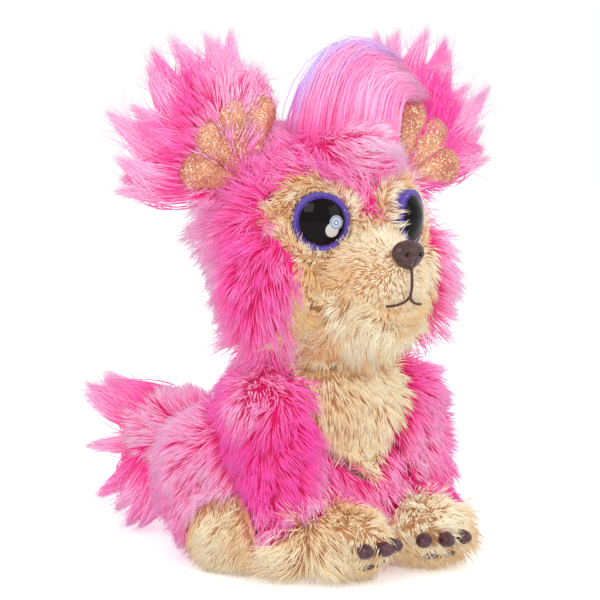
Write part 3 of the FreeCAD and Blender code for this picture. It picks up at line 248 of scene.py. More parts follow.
# %% The search tree over the solids
everything = bmesh.new()
for item in NODES.values():
    everything.from_mesh(item.data)
SOLIDS = BVHTree.FromBMesh(everything)
everything.free()
START_BELOW, FIRST_LOOK = 0.5, 7  # millimetres under the surface, and how far a first wall is looked for
STEP_ON, LOOK = 0.05, 60          # millimetres past a wall, and how far the next one is looked for
CORNER = 5 * MM                   # how much of a neighbour's edge a ray may cut through


def is_open(point, normal, room):
    """True where nothing lies within that room above the surface.

    A skin lies a little under its own solid's surface, so the first wall that a ray leaves by is its
    own.  A second one close behind is the edge of the piece sewn beside it.  A wall that the ray
    enters by within the room, or one that it leaves by further on, covers the point.
    """
    start = point - normal * START_BELOW * MM
    hit, wall, _, _ = SOLIDS.ray_cast(start, normal, FIRST_LOOK * MM)
    if hit is not None and wall.dot(normal) < 0:
        return False
    for _ in range(2):
        start = (hit or point) + normal * STEP_ON * MM
        hit, wall, _, far = SOLIDS.ray_cast(start, normal, LOOK * MM)
        if hit is None or wall.dot(normal) < 0:
            return hit is None or far > room
        if far > CORNER:
            return False
    return False


# %% [markdown]
# ## Skins
# A skin starts as a copy of its CAD solid, which already has the sewn form.  It is remeshed evenly,
# smoothed, and drawn in by the depth of its pile where it is open, so that the strands and not the
# cloth reach the CAD surface.

# %% Skins from the CAD solids
def to_scene(name, mesh):
    """A new object in the scene for a mesh."""
    item = bpy.data.objects.new(name, mesh)
    bpy.context.scene.collection.objects.link(item)
    return item


def from_bmesh(name, bm, smooth=True):
    """A new object from a finished bmesh, which is then freed."""
    for face in bm.faces:
        face.smooth = smooth
    mesh = bpy.data.meshes.new(name)
    bm.to_mesh(mesh)
    bm.free()
    return to_scene(name, mesh)


def settled(item):
    """Apply an object's modifiers to its mesh."""
    graph = bpy.context.evaluated_depsgraph_get()
    mesh = bpy.data.meshes.new_from_object(item.evaluated_get(graph))
    item.modifiers.clear()
    item.data = mesh
    return item


def even_copy(name, source, voxel):
    """A copy of a CAD solid's surface, merged and remeshed evenly."""
    bm = bmesh.new()
    bm.from_mesh(NODES[source].data)
    bmesh.ops.remove_doubles(bm, verts=bm.verts, dist=0.01 * MM)
    item = from_bmesh(name, bm, smooth=False)
    even = item.modifiers.new("even", "REMESH")
    even.mode = "VOXEL"
    even.voxel_size = voxel * MM
    return settled(item)


def averaged(values, ends):
    """Each vertex's value, averaged with its neighbours' along the edges."""
    total, count = values.copy(), np.ones(len(values))
    for near, far in ((0, 1), (1, 0)):
        np.add.at(total, ends[:, near], values[ends[:, far]])
        np.add.at(count, ends[:, near], 1)
    return total / count.reshape(-1, *[1] * (values.ndim - 1))


SMOOTHINGS, SOFTENINGS = 4, 2    # passes over the form, and over the edge of the open part
COVERED, FACES_BACK = 0.6, 0.3   # less open than this, and with a normal that runs back by more than this


def skin(name, source, depth, voxel=3.0, room=9.0, rim=0.0):
    """The backing cloth of one soft part, drawn in by the depth of its pile, in millimetres.

    The drawing in fades along the covered walls, so that no step shows at a seam.  The open attribute
    says how thickly each place is planted; rim is the least of it on walls that don't face back.
    """
    item = even_copy(name, source, voxel)
    bm = bmesh.new()
    bm.from_mesh(item.data)
    for _ in range(SMOOTHINGS):
        bmesh.ops.smooth_vert(bm, verts=bm.verts, factor=0.5,
                              use_axis_x=True, use_axis_y=True, use_axis_z=True)
    bm.normal_update()
    free = np.array([is_open(v.co, v.normal, room * MM) for v in bm.verts], float)
    ends = np.array([[e.verts[0].index, e.verts[1].index] for e in bm.edges])
    for _ in range(SOFTENINGS):
        free = averaged(free, ends)
    drawn = -depth * MM * free[:, None] * np.array([v.normal for v in bm.verts])
    for _ in range(int(1.4 * depth / voxel) + 2):
        drawn = np.where(free[:, None] < COVERED, averaged(drawn, ends), drawn)
    for vertex, shift in zip(bm.verts, drawn):
        vertex.co += Vector(shift)
    for face in bm.faces:
        face.smooth = True
    walls = rim * np.array([v.normal.y < FACES_BACK for v in bm.verts])
    bm.to_mesh(item.data)
    bm.free()
    shifted = np.linalg.norm(drawn, axis=1) / (depth * MM)
    planted = np.maximum(np.maximum(free, np.clip(1.3 * shifted - 0.3, 0, 1)), walls)
    attribute = item.data.attributes.new("open", "FLOAT", "POINT")
    attribute.data.foreach_set("value", planted.astype(np.float32))
    return item


# %% [markdown]
# ## One strand, grown many times
# A strand is a thin three-sided cone, made once.  Growing a coat lays copies of it along curves: a
# curve has four points, from its root in the cloth to its tip.  All copies are laid at once with
# arrays, which takes a second where a loop would take minutes.

# %% Strand forms and growing
def strand_form(rings, belly):
    """A closed three-sided cone from 0 to 1 along Z, widest at the height called belly."""
    bm = bmesh.new()
    bmesh.ops.create_cone(bm, cap_ends=True, segments=3, radius1=1, radius2=0, depth=1,
                          matrix=Matrix.Translation((0, 0, 0.5)))
    for ring in range(1, rings):
        bmesh.ops.bisect_plane(bm, geom=bm.verts[:] + bm.edges[:] + bm.faces[:],
                               plane_co=(0, 0, ring / rings), plane_no=(0, 0, 1))
    bmesh.ops.triangulate(bm, faces=bm.faces[:])
    bmesh.ops.recalc_face_normals(bm, faces=bm.faces[:])
    bm.verts.index_update()
    points = np.array([v.co for v in bm.verts])
    corners = np.array([[v.index for v in face.verts] for face in bm.faces])
    bm.free()
    height = points[:, 2]
    cone = np.maximum(1 - height, 1e-6)
    wide = np.where(height < belly, 0.55 + 0.45 * height / belly, (cone / (1 - belly)) ** 0.8)
    across = points[:, :2] / cone[:, None] * np.where(height > 0.999, 0, wide)[:, None]
    return across, height, corners


SHORT = strand_form(2, 0.4)
FINE = strand_form(7, 0.35)


def unit(vectors):
    """Each vector at length one."""
    return vectors / np.maximum(np.linalg.norm(vectors, axis=-1, keepdims=True), 1e-12)


def grow(name, form, curves, widths, tones, away):
    """A mesh of strands.  curves holds four points for each; away is the side that their flat turns to."""
    across, height, corners = form
    s = height[None, :, None]
    p0, p1, p2, p3 = (curves[:, None, k] for k in range(4))
    centre = (1 - s) ** 3 * p0 + 3 * (1 - s) ** 2 * s * p1 + 3 * (1 - s) * s ** 2 * p2 + s ** 3 * p3
    run = unit((1 - s) ** 2 * (p1 - p0) + 2 * (1 - s) * s * (p2 - p1) + s ** 2 * (p3 - p2) + 1e-9)
    side = unit(np.cross(run, away[:, None]))
    rise = np.cross(side, run)
    wide = widths[:, None, None]
    points = centre + (across[None, :, :1] * side + across[None, :, 1:] * rise) * wide
    count, size = len(curves), len(height)
    faces = (corners[None] + (np.arange(count) * size)[:, None, None]).reshape(-1, 3)
    mesh = bpy.data.meshes.new(name)
    mesh.vertices.add(count * size)
    mesh.vertices.foreach_set("co", points.reshape(-1).astype(np.float32))
    mesh.loops.add(faces.size)
    mesh.loops.foreach_set("vertex_index", faces.reshape(-1).astype(np.int32))
    mesh.polygons.add(len(faces))
    mesh.polygons.foreach_set("loop_start", np.arange(0, faces.size, 3, dtype=np.int32))
    mesh.update(calc_edges=True)
    mesh.polygons.foreach_set("use_smooth", np.ones(len(faces), bool))
    tone = (0.03 + 0.94 * np.clip(tones, 0, 1))[:, None] + 0.006 * across[None, :, 0]
    level = np.broadcast_to(0.02 + 0.96 * height + 0.008 * across[:, 1], tone.shape)
    chart = np.stack((tone, level), -1).reshape(-1, 2)[faces.reshape(-1)]
    mesh.uv_layers.new(name=MAP).data.foreach_set("uv", chart.reshape(-1).astype(np.float32))
    return to_scene(name, mesh)


# %% [markdown]
# ## Combing
# Real pile has a direction, lies in locks, and is never quite even.  Each strand starts along the
# cloth's normal and is combed towards its flow.  Nearby strands then lean to the tip of one leader,
# which makes the pointed locks of shaggy plush.  A slow random wave turns the flow from place to place.

# %% Combing helpers
# density is in strands per square millimetre, lift in degrees from the cloth, and length, width and
# clump, the size of a lock, in millimetres.  pull, ragged and swirl are shares.
Pile = namedtuple("Pile", "density length width lift clump pull ragged swirl form")


def wave(points, size, seed):
    """A smooth random vector at each point, which changes over about that size in millimetres."""
    random = np.random.default_rng(seed)
    total = np.zeros(points.shape)
    for _ in range(5):
        total += np.sin(points @ (random.normal(size=(3, 3)) / (size * MM)) + random.uniform(0, 6.28, 3))
    return total / 2.2


FULLNESS, BARE = 2.2, 0.3        # the pile grows from none to full between about 0.14 and 0.6 of open


def scattered(item, density, mask, random):
    """Random points on a skin with their normals, thinned where it is covered or masked."""
    mesh = item.data
    mesh.calc_loop_triangles()
    points = np.empty(len(mesh.vertices) * 3, np.float32)
    mesh.vertices.foreach_get("co", points)
    points = points.reshape(-1, 3).astype(float)
    free = np.empty(len(points), np.float32)
    mesh.attributes["open"].data.foreach_get("value", free)
    normals = np.array([v.normal for v in mesh.vertices])
    triangles = np.empty(len(mesh.loop_triangles) * 3, np.int32)
    mesh.loop_triangles.foreach_get("vertices", triangles)
    triangles = triangles.reshape(-1, 3)
    a, b, c = (points[triangles[:, k]] for k in range(3))
    area = np.linalg.norm(np.cross(b - a, c - a), axis=1) / 2 / MM ** 2
    planted = np.clip(free[triangles].mean(1) * FULLNESS - BARE, 0, 1)
    weight = area * planted * mask((a + b + c) / 3)
    count = int(density * weight.sum())
    chosen = triangles[random.choice(len(area), count, p=weight / weight.sum())]
    share = random.random((count, 2))
    share = np.where(share.sum(1, keepdims=True) > 1, 1 - share, share)
    share = np.column_stack((1 - share.sum(1), share))[:, :, None]
    return (points[chosen] * share).sum(1), unit((normals[chosen] * share).sum(1))


def locks_of(roots, spacing, random):
    """For each root, the index of the leader of its lock."""
    count = max(1, len(roots) // max(1, int(spacing)))
    leaders = random.choice(len(roots), count, replace=False)
    tree = KDTree(count)
    for slot, index in enumerate(leaders):
        tree.insert(roots[index], slot)
    tree.balance()
    return leaders[[tree.find(root)[1] for root in roots]]


def everywhere(points):
    """The plain mask and the plain growth: 1 at every point."""
    return np.ones(len(points))


def sewn_on(item, cloth, dye, slot):
    """Dye a mesh of strands and make it a child of the cloth that it is sewn on."""
    item.data.materials.append(dye)
    item.parent = cloth
    print(item.name, "on", cloth.name, len(item.data.polygons), "triangles")
    return item


FLOOR_GAP = 0.4                  # millimetres that a coat stays above the floor


def coat(name, cloth, pile, flow, tone, dye, slot, seed, mask=everywhere, growth=everywhere):
    """Grow a combed pile on a skin and make it a child of the skin."""
    random = np.random.default_rng(seed)
    roots, normals = scattered(cloth, pile.density, mask, random)
    count = len(roots)
    comb = unit(flow(roots)) + pile.swirl * wave(roots, 2 * pile.clump, seed)
    comb = comb + 0.15 * random.normal(size=roots.shape)
    comb = unit(comb - (comb * normals).sum(1, keepdims=True) * normals)
    lift = np.radians(pile.lift + 9 * random.normal(size=(count, 1)))
    uneven = 1 + pile.ragged * random.uniform(-1, 1, (count, 1))
    length = pile.length * MM * uneven * growth(roots)[:, None]
    tips = roots + length * (np.cos(lift) * comb + np.sin(lift) * normals)
    per_lock = math.pi / 4 * pile.clump ** 2 * pile.density
    leader = locks_of(roots, per_lock, random)
    pull = pile.pull * (0.6 + 0.4 * random.random((count, 1)))
    tips += pull * (tips[leader] + 0.35 * (roots - roots[leader]) - tips)
    mean, swing = tone(roots), random.random(count)
    shade = mean + 0.22 * (swing[leader] - 0.5) + 0.2 * (swing - 0.5)
    start = roots - normals * 0.5 * MM
    rise = roots + length * 0.38 * (0.75 * normals + 0.5 * comb)
    bend = roots * 0.35 + tips * 0.65 + normals * length * 0.10
    curves = np.stack((start, rise, bend, tips), 1)
    curves[:, :, 2] = np.maximum(curves[:, :, 2], FLOOR_GAP * MM)
    widths = pile.width * MM * (0.75 + 0.5 * random.random(count))
    return sewn_on(grow(name, pile.form, curves, widths, shade, normals), cloth, dye, slot)


PINK = (pink_backing, pink_fibre, "pink_plush")
CREAM = (cream_backing, cream_fibre, "cream_plush")


def plush(node_name, body, depth, colours, pile, flow, tone, seed, mask=everywhere, growth=everywhere, **cut):
    """A padded skin that stands for a CAD solid, with its coat."""
    cloth, dye, slot = colours
    under = skin(node_name + "_skin", node_name, depth, **cut)
    under.data.materials.clear()
    under.data.materials.append(cloth)
    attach(under, body)
    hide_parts(node_name)
    coat(node_name + "_pile", under, pile, flow, tone, dye, slot, seed, mask, growth)
    return under


# %% [markdown]
# ## The body's plush
# The body is sewn from ten parts.  Their pile runs down, and the bib, paws and feet are cream.  These
# have a shorter, finer pile than the body, as on the real toy.  The front of the neck is cream too, so
# that the chin runs on to the bib.

# %% Flows and tones of the body
def away_from(x, y, z, down=0.0, back=0.0):
    """A flow that leaves one point, given in millimetres, and also runs down or back."""
    centre = np.array((x, y, z)) * MM
    return lambda points: unit(points - centre) + np.array((0, back, -down))


def longer_below(level, fall, gain):
    """Pile that grows longer below a level, by that gain over that fall, in millimetres."""
    return lambda points: 1 + gain * np.clip((level - points[:, 2] / MM) / fall, 0, 1)


def cloudy(mean, swing, size, seed, rise=0.0, level=100):
    """A tone that drifts from place to place, and rises or falls with the height."""
    def tone(points):
        drift = wave(points, size, seed)[:, 0] * swing
        return mean + drift + rise * (points[:, 2] / MM - level) / 100
    return tone


SHAGGY = Pile(density=0.62, length=16.0, width=0.36, lift=36, clump=7.5, pull=0.55, ragged=0.35, swirl=0.5,
              form=SHORT)
MEDIUM = Pile(density=0.80, length=12.5, width=0.34, lift=38, clump=5.5, pull=0.5, ragged=0.35, swirl=0.55,
              form=SHORT)
VELVET = Pile(density=1.15, length=8.0, width=0.32, lift=42, clump=3.6, pull=0.5, ragged=0.35, swirl=0.8,
              form=SHORT)


def two_tone(cloth, share):
    """Give the part of a skin where share is 1 a cream backing."""
    cloth.data.materials.append(cream_backing)
    middles = np.array([face.center for face in cloth.data.polygons])
    cloth.data.polygons.foreach_set("material_index", (share(middles) > 0.5).astype(np.int32))


def throat(points):
    """1 on the front of the neck, where the chin's cream runs on to the bib."""
    x, y, z = (points / MM).T
    return ((np.abs(x) < 32) & (y < -12) & (z > 98)).astype(float)


def paw_growth(points):
    """Longer on the outer side of a front paw."""
    return 1 + 0.8 * np.clip((np.abs(points[:, 0]) / MM - 38) / 12, 0, 1)


# %% Torso, bib and legs
SIDES = (("right", -1), ("left", 1))
down_the_chest = away_from(0, 0, 150, down=1.2)
torso = plush("torso_cover", "torso", 8, PINK, SHAGGY._replace(density=0.45), away_from(0, 20, 150, down=1.0),
              cloudy(0.35, 0.25, 30, 11), 11, mask=lambda points: 1 - throat(points), voxel=4.0)
two_tone(torso, throat)
coat("throat_pile", torso, MEDIUM, down_the_chest, cloudy(0.55, 0.3, 14, 13), cream_fibre, "cream_plush", 13,
     mask=throat)
plush("chest_bib", "torso", 5, CREAM, MEDIUM, down_the_chest, cloudy(0.6, 0.15, 20, 12), 12)
for side, sign in SIDES:
    plush("thigh_" + side, "torso", 8, PINK, SHAGGY, away_from(sign * 40, 10, 100, down=0.9, back=0.5),
          cloudy(0.55, 0.3, 26, 21, rise=0.5, level=50), 21)
    plush("front_leg_" + side, "torso", 8, PINK, SHAGGY, away_from(sign * 30, 10, 110, down=1.0),
          cloudy(0.38, 0.35, 22, 22), 22)
    plush("hind_foot_" + side, "torso", 7, CREAM, MEDIUM, away_from(sign * 50, 20, 60, down=0.9),
          cloudy(0.5, 0.3, 18, 23), 23)
    plush("front_paw_" + side, "torso", 6, CREAM, MEDIUM, away_from(sign * 32, -30, 45, down=0.5, back=-0.5),
          cloudy(0.5, 0.3, 16, 24), 24, growth=paw_growth)

# %% [markdown]
# ## The head's plush
# The hood's pile leaves the face on all sides: back over the crown and down over the cheeks.  The
# front of the cheeks is cream.  The face and muzzle have a short, curly pile that leaves the nose.

# %% Hood, face and muzzle
EYE = Vector((32, -40, 193)) * MM


def hood_flow(points):
    """Back over the crown, and down over the cheeks."""
    leaving = unit(points - np.array((0, -70, 190)) * MM)
    low = np.clip((212 - points[:, 2:] / MM) / 40, 0, 1)
    return leaving + low * np.array((0, 0, -1.0)) + (1 - low) * np.array((0, 0.5, 0))


def hood_growth(points):
    """Fuller at the temples, and longest under the cheeks, where it hangs over the neck."""
    x, _, z = (points / MM).T
    temple = np.clip((np.abs(x) - 38) / 14, 0, 1) * np.exp(-((z - 197) / 14) ** 2)
    return longer_below(195, 60, 0.2)(points) * longer_below(150, 22, 0.7)(points) + 0.8 * temple


def face_growth(points):
    """Short round the eyes and nose, longer down the cheeks and at the inner side of each eye."""
    inner = np.exp(-((np.abs(points[:, 0]) / MM - 14) / 5) ** 2 - ((points[:, 2] / MM - 194) / 12) ** 2)
    return longer_below(172, 35, 1.0)(points) + 0.5 * inner


def face_flow(points):
    """The pile leaves the nose, and close to an eye it turns in over the eye's rim."""
    flow = unit(points - np.array((0, -60, 180)) * MM) + np.array((0, 0, -0.2))
    for sign in (-1, 1):
        inward = np.array((sign * EYE.x, EYE.y, EYE.z)) - points
        near = np.clip((23 - np.linalg.norm(inward, axis=1, keepdims=True) / MM) / 4, 0, 1)
        flow = flow * (1 - near) + unit(inward) * near
    return flow


def lower_face(points):
    """1 on the front of the cheeks, below the eyes, where the hood is cream."""
    x, y, z = (points / MM).T
    edge = 49 + 3 * wave(points, 10, 34)[:, 0]
    return ((np.abs(x) < edge) & (y < -16) & (z < 186)).astype(float)


hood = plush("head_hood", "head", 7, PINK, SHAGGY._replace(density=0.54, clump=7.0), hood_flow,
             cloudy(0.45, 0.3, 24, 31), 31, mask=lambda points: 1 - lower_face(points), growth=hood_growth)
two_tone(hood, lower_face)
coat("cheek_pile", hood, MEDIUM._replace(density=1.2, length=10.0, swirl=0.8),
     away_from(0, -50, 190, down=0.9), cloudy(0.5, 0.5, 9, 35), cream_fibre, "cream_plush", 35,
     mask=lower_face, growth=longer_below(160, 30, 0.6))
plush("face_panel", "head", 6.5, CREAM, VELVET, face_flow, cloudy(0.5, 0.5, 8, 32), 32,
      growth=face_growth, voxel=2.0, room=6.0, rim=0.5)
plush("muzzle", "head", 4.5, CREAM, VELVET._replace(length=6.0, swirl=0.4), away_from(0, -74, 176, down=0.3),
      cloudy(0.62, 0.35, 9, 33), 33, growth=longer_below(148, 8, 1.2), voxel=2.0, room=4.0, rim=0.4)

# %% [markdown]
# ## Plumes: ears and tail
# The long fluff of an ear or the tail stands out like a fan.  A plume is laid lock by lock: each lock
# has its own direction and reach, its strands start apart on a small pad and meet near its tip, and a
# few strays go their own way.

# %% Plumes
# The locks point from first to last, in degrees, and reach furthest at the peak.  inner and outer are
# millimetres to the roots, near and far to the tips, and fall is the share that the end locks lose.
Fan = namedtuple("Fan", "first peak last inner outer near far fall depth count locks width")
LOCK_GAP = 1.5                   # millimetres that a lock stays above the floor
LOCK_TONE = 0.55                 # between the deep dye at 0 and the pale one at 1


def plume(name, cloth, centre, out, up, fan, dye, slot, seed):
    """A fan of long locks.  out and up span the fan's plane, and the angles are measured from out."""
    random = np.random.default_rng(seed)
    centre, out, up = np.array(centre, float), np.array(out, float), np.array(up, float)
    side = np.cross(out, up)
    step = (fan.last - fan.first) / fan.locks
    lock_angle = fan.first + step * (np.arange(fan.locks) + 0.5 + random.uniform(-0.25, 0.25, fan.locks))
    side_width = np.where(lock_angle > fan.peak, fan.last - fan.peak, fan.peak - fan.first)
    past = (lock_angle - fan.peak) / side_width
    lock_reach = random.uniform(fan.near, fan.far, fan.locks) * (1 - fan.fall * np.abs(past) ** 3)
    lock_side = random.uniform(-0.5, 0.5, fan.locks) * fan.depth
    lock_curl = random.uniform(-9, 9, fan.locks)
    lock_tone = random.uniform(-0.2, 0.2, fan.locks)
    lock = random.integers(0, fan.locks, fan.count)
    stray = random.random(fan.count) < 0.12

    def spot(angle, radius, offset):
        turn = np.radians(angle)[:, None]
        along = radius[:, None] * (np.cos(turn) * out + np.sin(turn) * up)
        return centre + MM * (along + offset[:, None] * side)

    root_angle = lock_angle[lock] + step * random.normal(0, 0.75, fan.count)
    root_radius = random.uniform(fan.inner, fan.outer, fan.count)
    root_side = fan.depth * random.uniform(-0.5, 0.5, fan.count)
    spray = np.where(stray, 1.4, 0.28)
    tip_angle = lock_angle[lock] + lock_curl[lock] + step * spray * random.normal(0, 0.5, fan.count)
    tip_radius = lock_reach[lock] * random.uniform(0.78, 1.0, fan.count)
    tip_side = lock_side[lock] + fan.depth * spray * random.uniform(-0.3, 0.3, fan.count)
    middle = 0.5 * (root_angle + lock_angle[lock])
    curves = np.stack((
        spot(root_angle, root_radius, root_side),
        spot(0.8 * root_angle + 0.2 * middle, root_radius * 0.65 + tip_radius * 0.35, root_side),
        spot(middle, root_radius * 0.35 + tip_radius * 0.65, 0.5 * (root_side + tip_side)),
        spot(tip_angle, tip_radius, tip_side)), 1)
    curves[:, :, 2] = np.maximum(curves[:, :, 2], LOCK_GAP * MM)
    tones = LOCK_TONE + lock_tone[lock] + random.uniform(-0.12, 0.12, fan.count)
    widths = fan.width * MM * random.uniform(0.7, 1.3, fan.count)
    return sewn_on(grow(name, FINE, curves, widths, tones, np.broadcast_to(side, (fan.count, 3))),
                   cloth, dye, slot)


def pad(name, centre, half, turn, slot, body, *stands_for):
    """A small stuffed pad, rounder at its rim than an egg, on which long locks are sewn."""
    bm = bmesh.new()
    bmesh.ops.create_icosphere(bm, subdivisions=4, radius=1)
    for vertex in bm.verts:
        vertex.co = Vector([math.copysign(abs(c) ** 0.8, c) for c in vertex.co])
    shape = Matrix.Translation(Vector(centre)) @ turn @ Matrix.Diagonal((*[h * MM for h in half], 1))
    bmesh.ops.transform(bm, matrix=shape, verts=bm.verts)
    item = from_bmesh(name, bm)
    item.data.materials.append(pink_backing)
    attribute = item.data.attributes.new("open", "FLOAT", "POINT")
    attribute.data.foreach_set("value", [1.0] * len(item.data.vertices))
    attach(item, body)
    if stands_for:
        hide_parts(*stands_for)
    return item


def tufted(name, centre, half, turn, body, flow, pile, seed, *stands_for):
    """A pink pad with a coat of its own."""
    under = pad(name + "_pad", centre, half, turn, "pink_plush", body, *stands_for)
    coat(name + "_tuft", under, pile, flow, cloudy(0.4, 0.3, 16, seed), pink_fibre, "pink_plush", seed)
    return under


# %% Ears
EAR = Vector((50, 6, 212)) * MM  # on the left ear's pivot line, at the middle of its fluff
EAR_LEAN = math.radians(58)      # from level to the middle of the ear's pad
EAR_PAD_OUT = 32                 # millimetres from the pivot to that middle
EAR_PAD_HALF, EAR_ROOT_HALF = (31, 6.5, 31), (14, 10, 14)
UNTURNED = Matrix.Identity(4)
for side, sign in SIDES:
    body = "ear_" + side
    pivot = Vector((sign * EAR.x, EAR.y, EAR.z))
    middle = pivot + EAR_PAD_OUT * MM * Vector((sign * math.cos(EAR_LEAN), 0, math.sin(EAR_LEAN)))
    outward = away_from(*(pivot / MM))
    under = tufted("ear_" + side, middle, EAR_PAD_HALF, UNTURNED, body, outward,
                   SHAGGY._replace(density=0.5, lift=24), 43, "ear_fluff_" + side)
    tufted("ear_root_" + side, pivot + Vector((0, 1, -1)) * MM, EAR_ROOT_HALF, UNTURNED, body, outward,
           MEDIUM, 44)
    ear_fan = Fan(first=-3 + 5 * sign, peak=34 + 8 * sign, last=107 + 5 * sign, inner=22, outer=54,
                  near=82, far=101, fall=0.3, depth=14, count=4200, locks=15, width=0.45)
    plume("ear_locks_" + side, under, pivot, (sign, 0, 0), (0, 0, 1), ear_fan, pink_fibre, "pink_plush", 41)

# %% Tail
TAIL = np.array((-15, 116, 62)) * MM
TAIL_ANGLE = math.radians(15)    # the tail rests this far to the right
TAIL_OUT = np.array((-math.sin(TAIL_ANGLE), math.cos(TAIL_ANGLE), 0))
TAIL_TURN = Matrix.Rotation(TAIL_ANGLE, 4, "Z")
TAIL_PAD_HALF, TAIL_ROOT_HALF = (21, 25, 16), (12, 21, 12)
under = tufted("tail", TAIL, TAIL_PAD_HALF, TAIL_TURN, "tail", away_from(-3, 70, 62), SHAGGY, 45,
               "tail_fluff")
tufted("tail_root", TAIL - 36 * MM * TAIL_OUT, TAIL_ROOT_HALF, TAIL_TURN, "tail",
       away_from(0, 66, 62, down=0.3), SHAGGY, 46)
tail_fan = Fan(first=-80, peak=-12, last=38, inner=8, outer=32, near=68, far=94, fall=0.35, depth=44,
               count=4600, locks=17, width=0.5)
plume("tail_locks", under, TAIL - 8 * MM * TAIL_OUT, TAIL_OUT, (0, 0, 1), tail_fan, pink_fibre,
      "pink_plush", 42)

# %% [markdown]
# ## The crest
# Long silky hair is rooted along the forehead.  It rises, rolls over and falls towards the puppy's
# left ear.  Silky hair lies in smooth parallel locks, so each lock is one guide curve and its strands
# keep close to it.  A few locks at the back of the roll are dyed lilac.

# %% Crest
HEAD, HEAD_HALF = Vector((0, 5, 184)), Vector((68, 52, 62))   # the ball of the head, in millimetres
CREST_FROM, CREST_RUN = -23, 47  # where the row of roots starts and how far it runs, in millimetres
ROOT_DEPTH, CREST_RISE = 6, 33   # millimetres under the head's top, and over the root
LOCK_HAIR = 0.34                 # a strand's width in millimetres


def crest_locks(name, cloth, guides, strands, thick, dye, tone, seed):
    """Silky locks: every strand keeps close to its guide, spread most in the middle."""
    random = np.random.default_rng(seed)
    guides = np.array(guides) * MM
    lock = random.integers(0, len(guides), strands)
    offset = random.normal(0, 1, (strands, 1, 3)) * thick * MM
    opening = np.array((1.0, 1.15, 0.9, 0.45))[None, :, None]
    curves = guides[lock] + offset * opening + random.normal(0, 0.5 * MM, (strands, 4, 3))
    shares = random.uniform(0.86, 1.0, strands)[:, None]
    curves[:, 3] = curves[:, 2] + (curves[:, 3] - curves[:, 2]) * shares
    tones = tone + random.uniform(-0.28, 0.28, len(guides))[lock] + random.uniform(-0.1, 0.1, strands)
    away = np.broadcast_to(np.array((0.0, -1.0, 0.0)), (strands, 3))
    widths = LOCK_HAIR * MM * random.uniform(0.7, 1.3, strands)
    return sewn_on(grow(name, FINE, curves, widths, tones, away), cloth, dye, "long_hair")


def head_top(x, y):
    """The height of the head's ball at a place, in millimetres."""
    inside = 1 - (x / HEAD_HALF.x) ** 2 - ((y - HEAD.y) / HEAD_HALF.y) ** 2
    return HEAD.z + HEAD_HALF.z * math.sqrt(max(0.05, inside))


def crest_guides(count, seed, start=0.0, end=1.0, back=(-31, 2)):
    """Guide curves from the left of the forehead to the right, each rolling over to the puppy's left."""
    random = np.random.default_rng(seed)
    guides = []
    for index in range(count):
        share = start + (end - start) * (index + 0.5) / count
        x, y = CREST_FROM + CREST_RUN * share + random.uniform(-2, 2), random.uniform(*back)
        root = (x, y, head_top(x, y) - ROOT_DEPTH)
        rise = (x - 1 + random.uniform(-5, 5), y - 3 + random.uniform(-4, 4),
                root[2] + CREST_RISE - 12 * share)
        roll = (-2 + 42 * share + random.uniform(-3, 3), -12 + random.uniform(-4, 4), 304 - 30 * share)
        tip = (44 + 30 * share + random.uniform(-5, 5), -8 + random.uniform(-6, 6), 280 - 26 * share)
        guides.append((root, rise, roll, tip))
    return guides


mound = pad("crest_pad", Vector((0, -20, 228)) * MM, (24, 14, 10), UNTURNED, "long_hair", "head", "crest")
coat("crest_tuft", mound, SHAGGY._replace(density=0.8, lift=30), away_from(0, 0, 260, down=0.4),
     cloudy(0.4, 0.3, 12, 53), pink_fibre, "long_hair", 53)
crest_locks("crest_hair", mound, crest_guides(46, 51), 3300, 2.6, hair_fibre, 0.55, 51)
lilac_guides = crest_guides(5, 52, end=0.2, back=(-16, 0))
crest_locks("crest_lilac", mound, lilac_guides, 420, 2.4, lilac_fibre, 0.6, 52)

# %% [markdown]
# ## Gilt shells in the ears
# The front of each ear is a scalloped shell of glittering cloth, quilted into four padded rays that
# meet at its root.  It starts as a flat grid that is bent into a fan, so the quilting follows the
# rays, and a solidify step gives it its thickness.

# %% Gilt cloth
def gilt(name):
    """A pinkish gold cloth with glitter: some cells are darker and a few shine."""
    made, tree, shader = material(name, Metallic=0.35, Roughness=0.42)
    place = object_place(tree)
    cells = node(tree, "TexVoronoi", Vector=place, Scale=1500.0)
    spark = node(tree, "SeparateXYZ", Vector=cells.outputs["Color"])
    cloud = node(tree, "TexNoise", Vector=place, Scale=70.0, Detail=3.0).outputs[0]
    ground = blend_colours(tree, spread(tree, cloud, 0.35, 0.65), paint(196, 120, 96), paint(228, 166, 128))
    dark_share = spread(tree, spark.outputs[0], 0.3, 0.9, 0.0, 0.6)
    grain = blend_colours(tree, dark_share, ground, paint(160, 84, 70))
    glint = blend_colours(tree, spread(tree, spark.outputs[1], 0.86, 0.94), grain, paint(255, 240, 196))
    tree.links.new(glint, shader.inputs["Base Color"])
    tree.links.new(spread(tree, spark.outputs[1], 0.8, 0.95, 0.5, 0.22), shader.inputs["Roughness"])
    bumped(tree, shader, spark.outputs[2], 0.35, 0.0004)
    return made


gilt_cloth = gilt("gilt_cloth")
RAYS, FIRST_RAY, RAY_STEP = 4, 12, 29        # rays of the shell, and degrees
SHELL_ROOT, SHELL_DIP, SHELL_TIP = 5, 40, 49  # millimetres from the pivot
SHELL_AHEAD = 8.7                             # millimetres before the pivot
SHELL_THICK, SHELL_PUFF = 1.2, 5.0            # millimetres

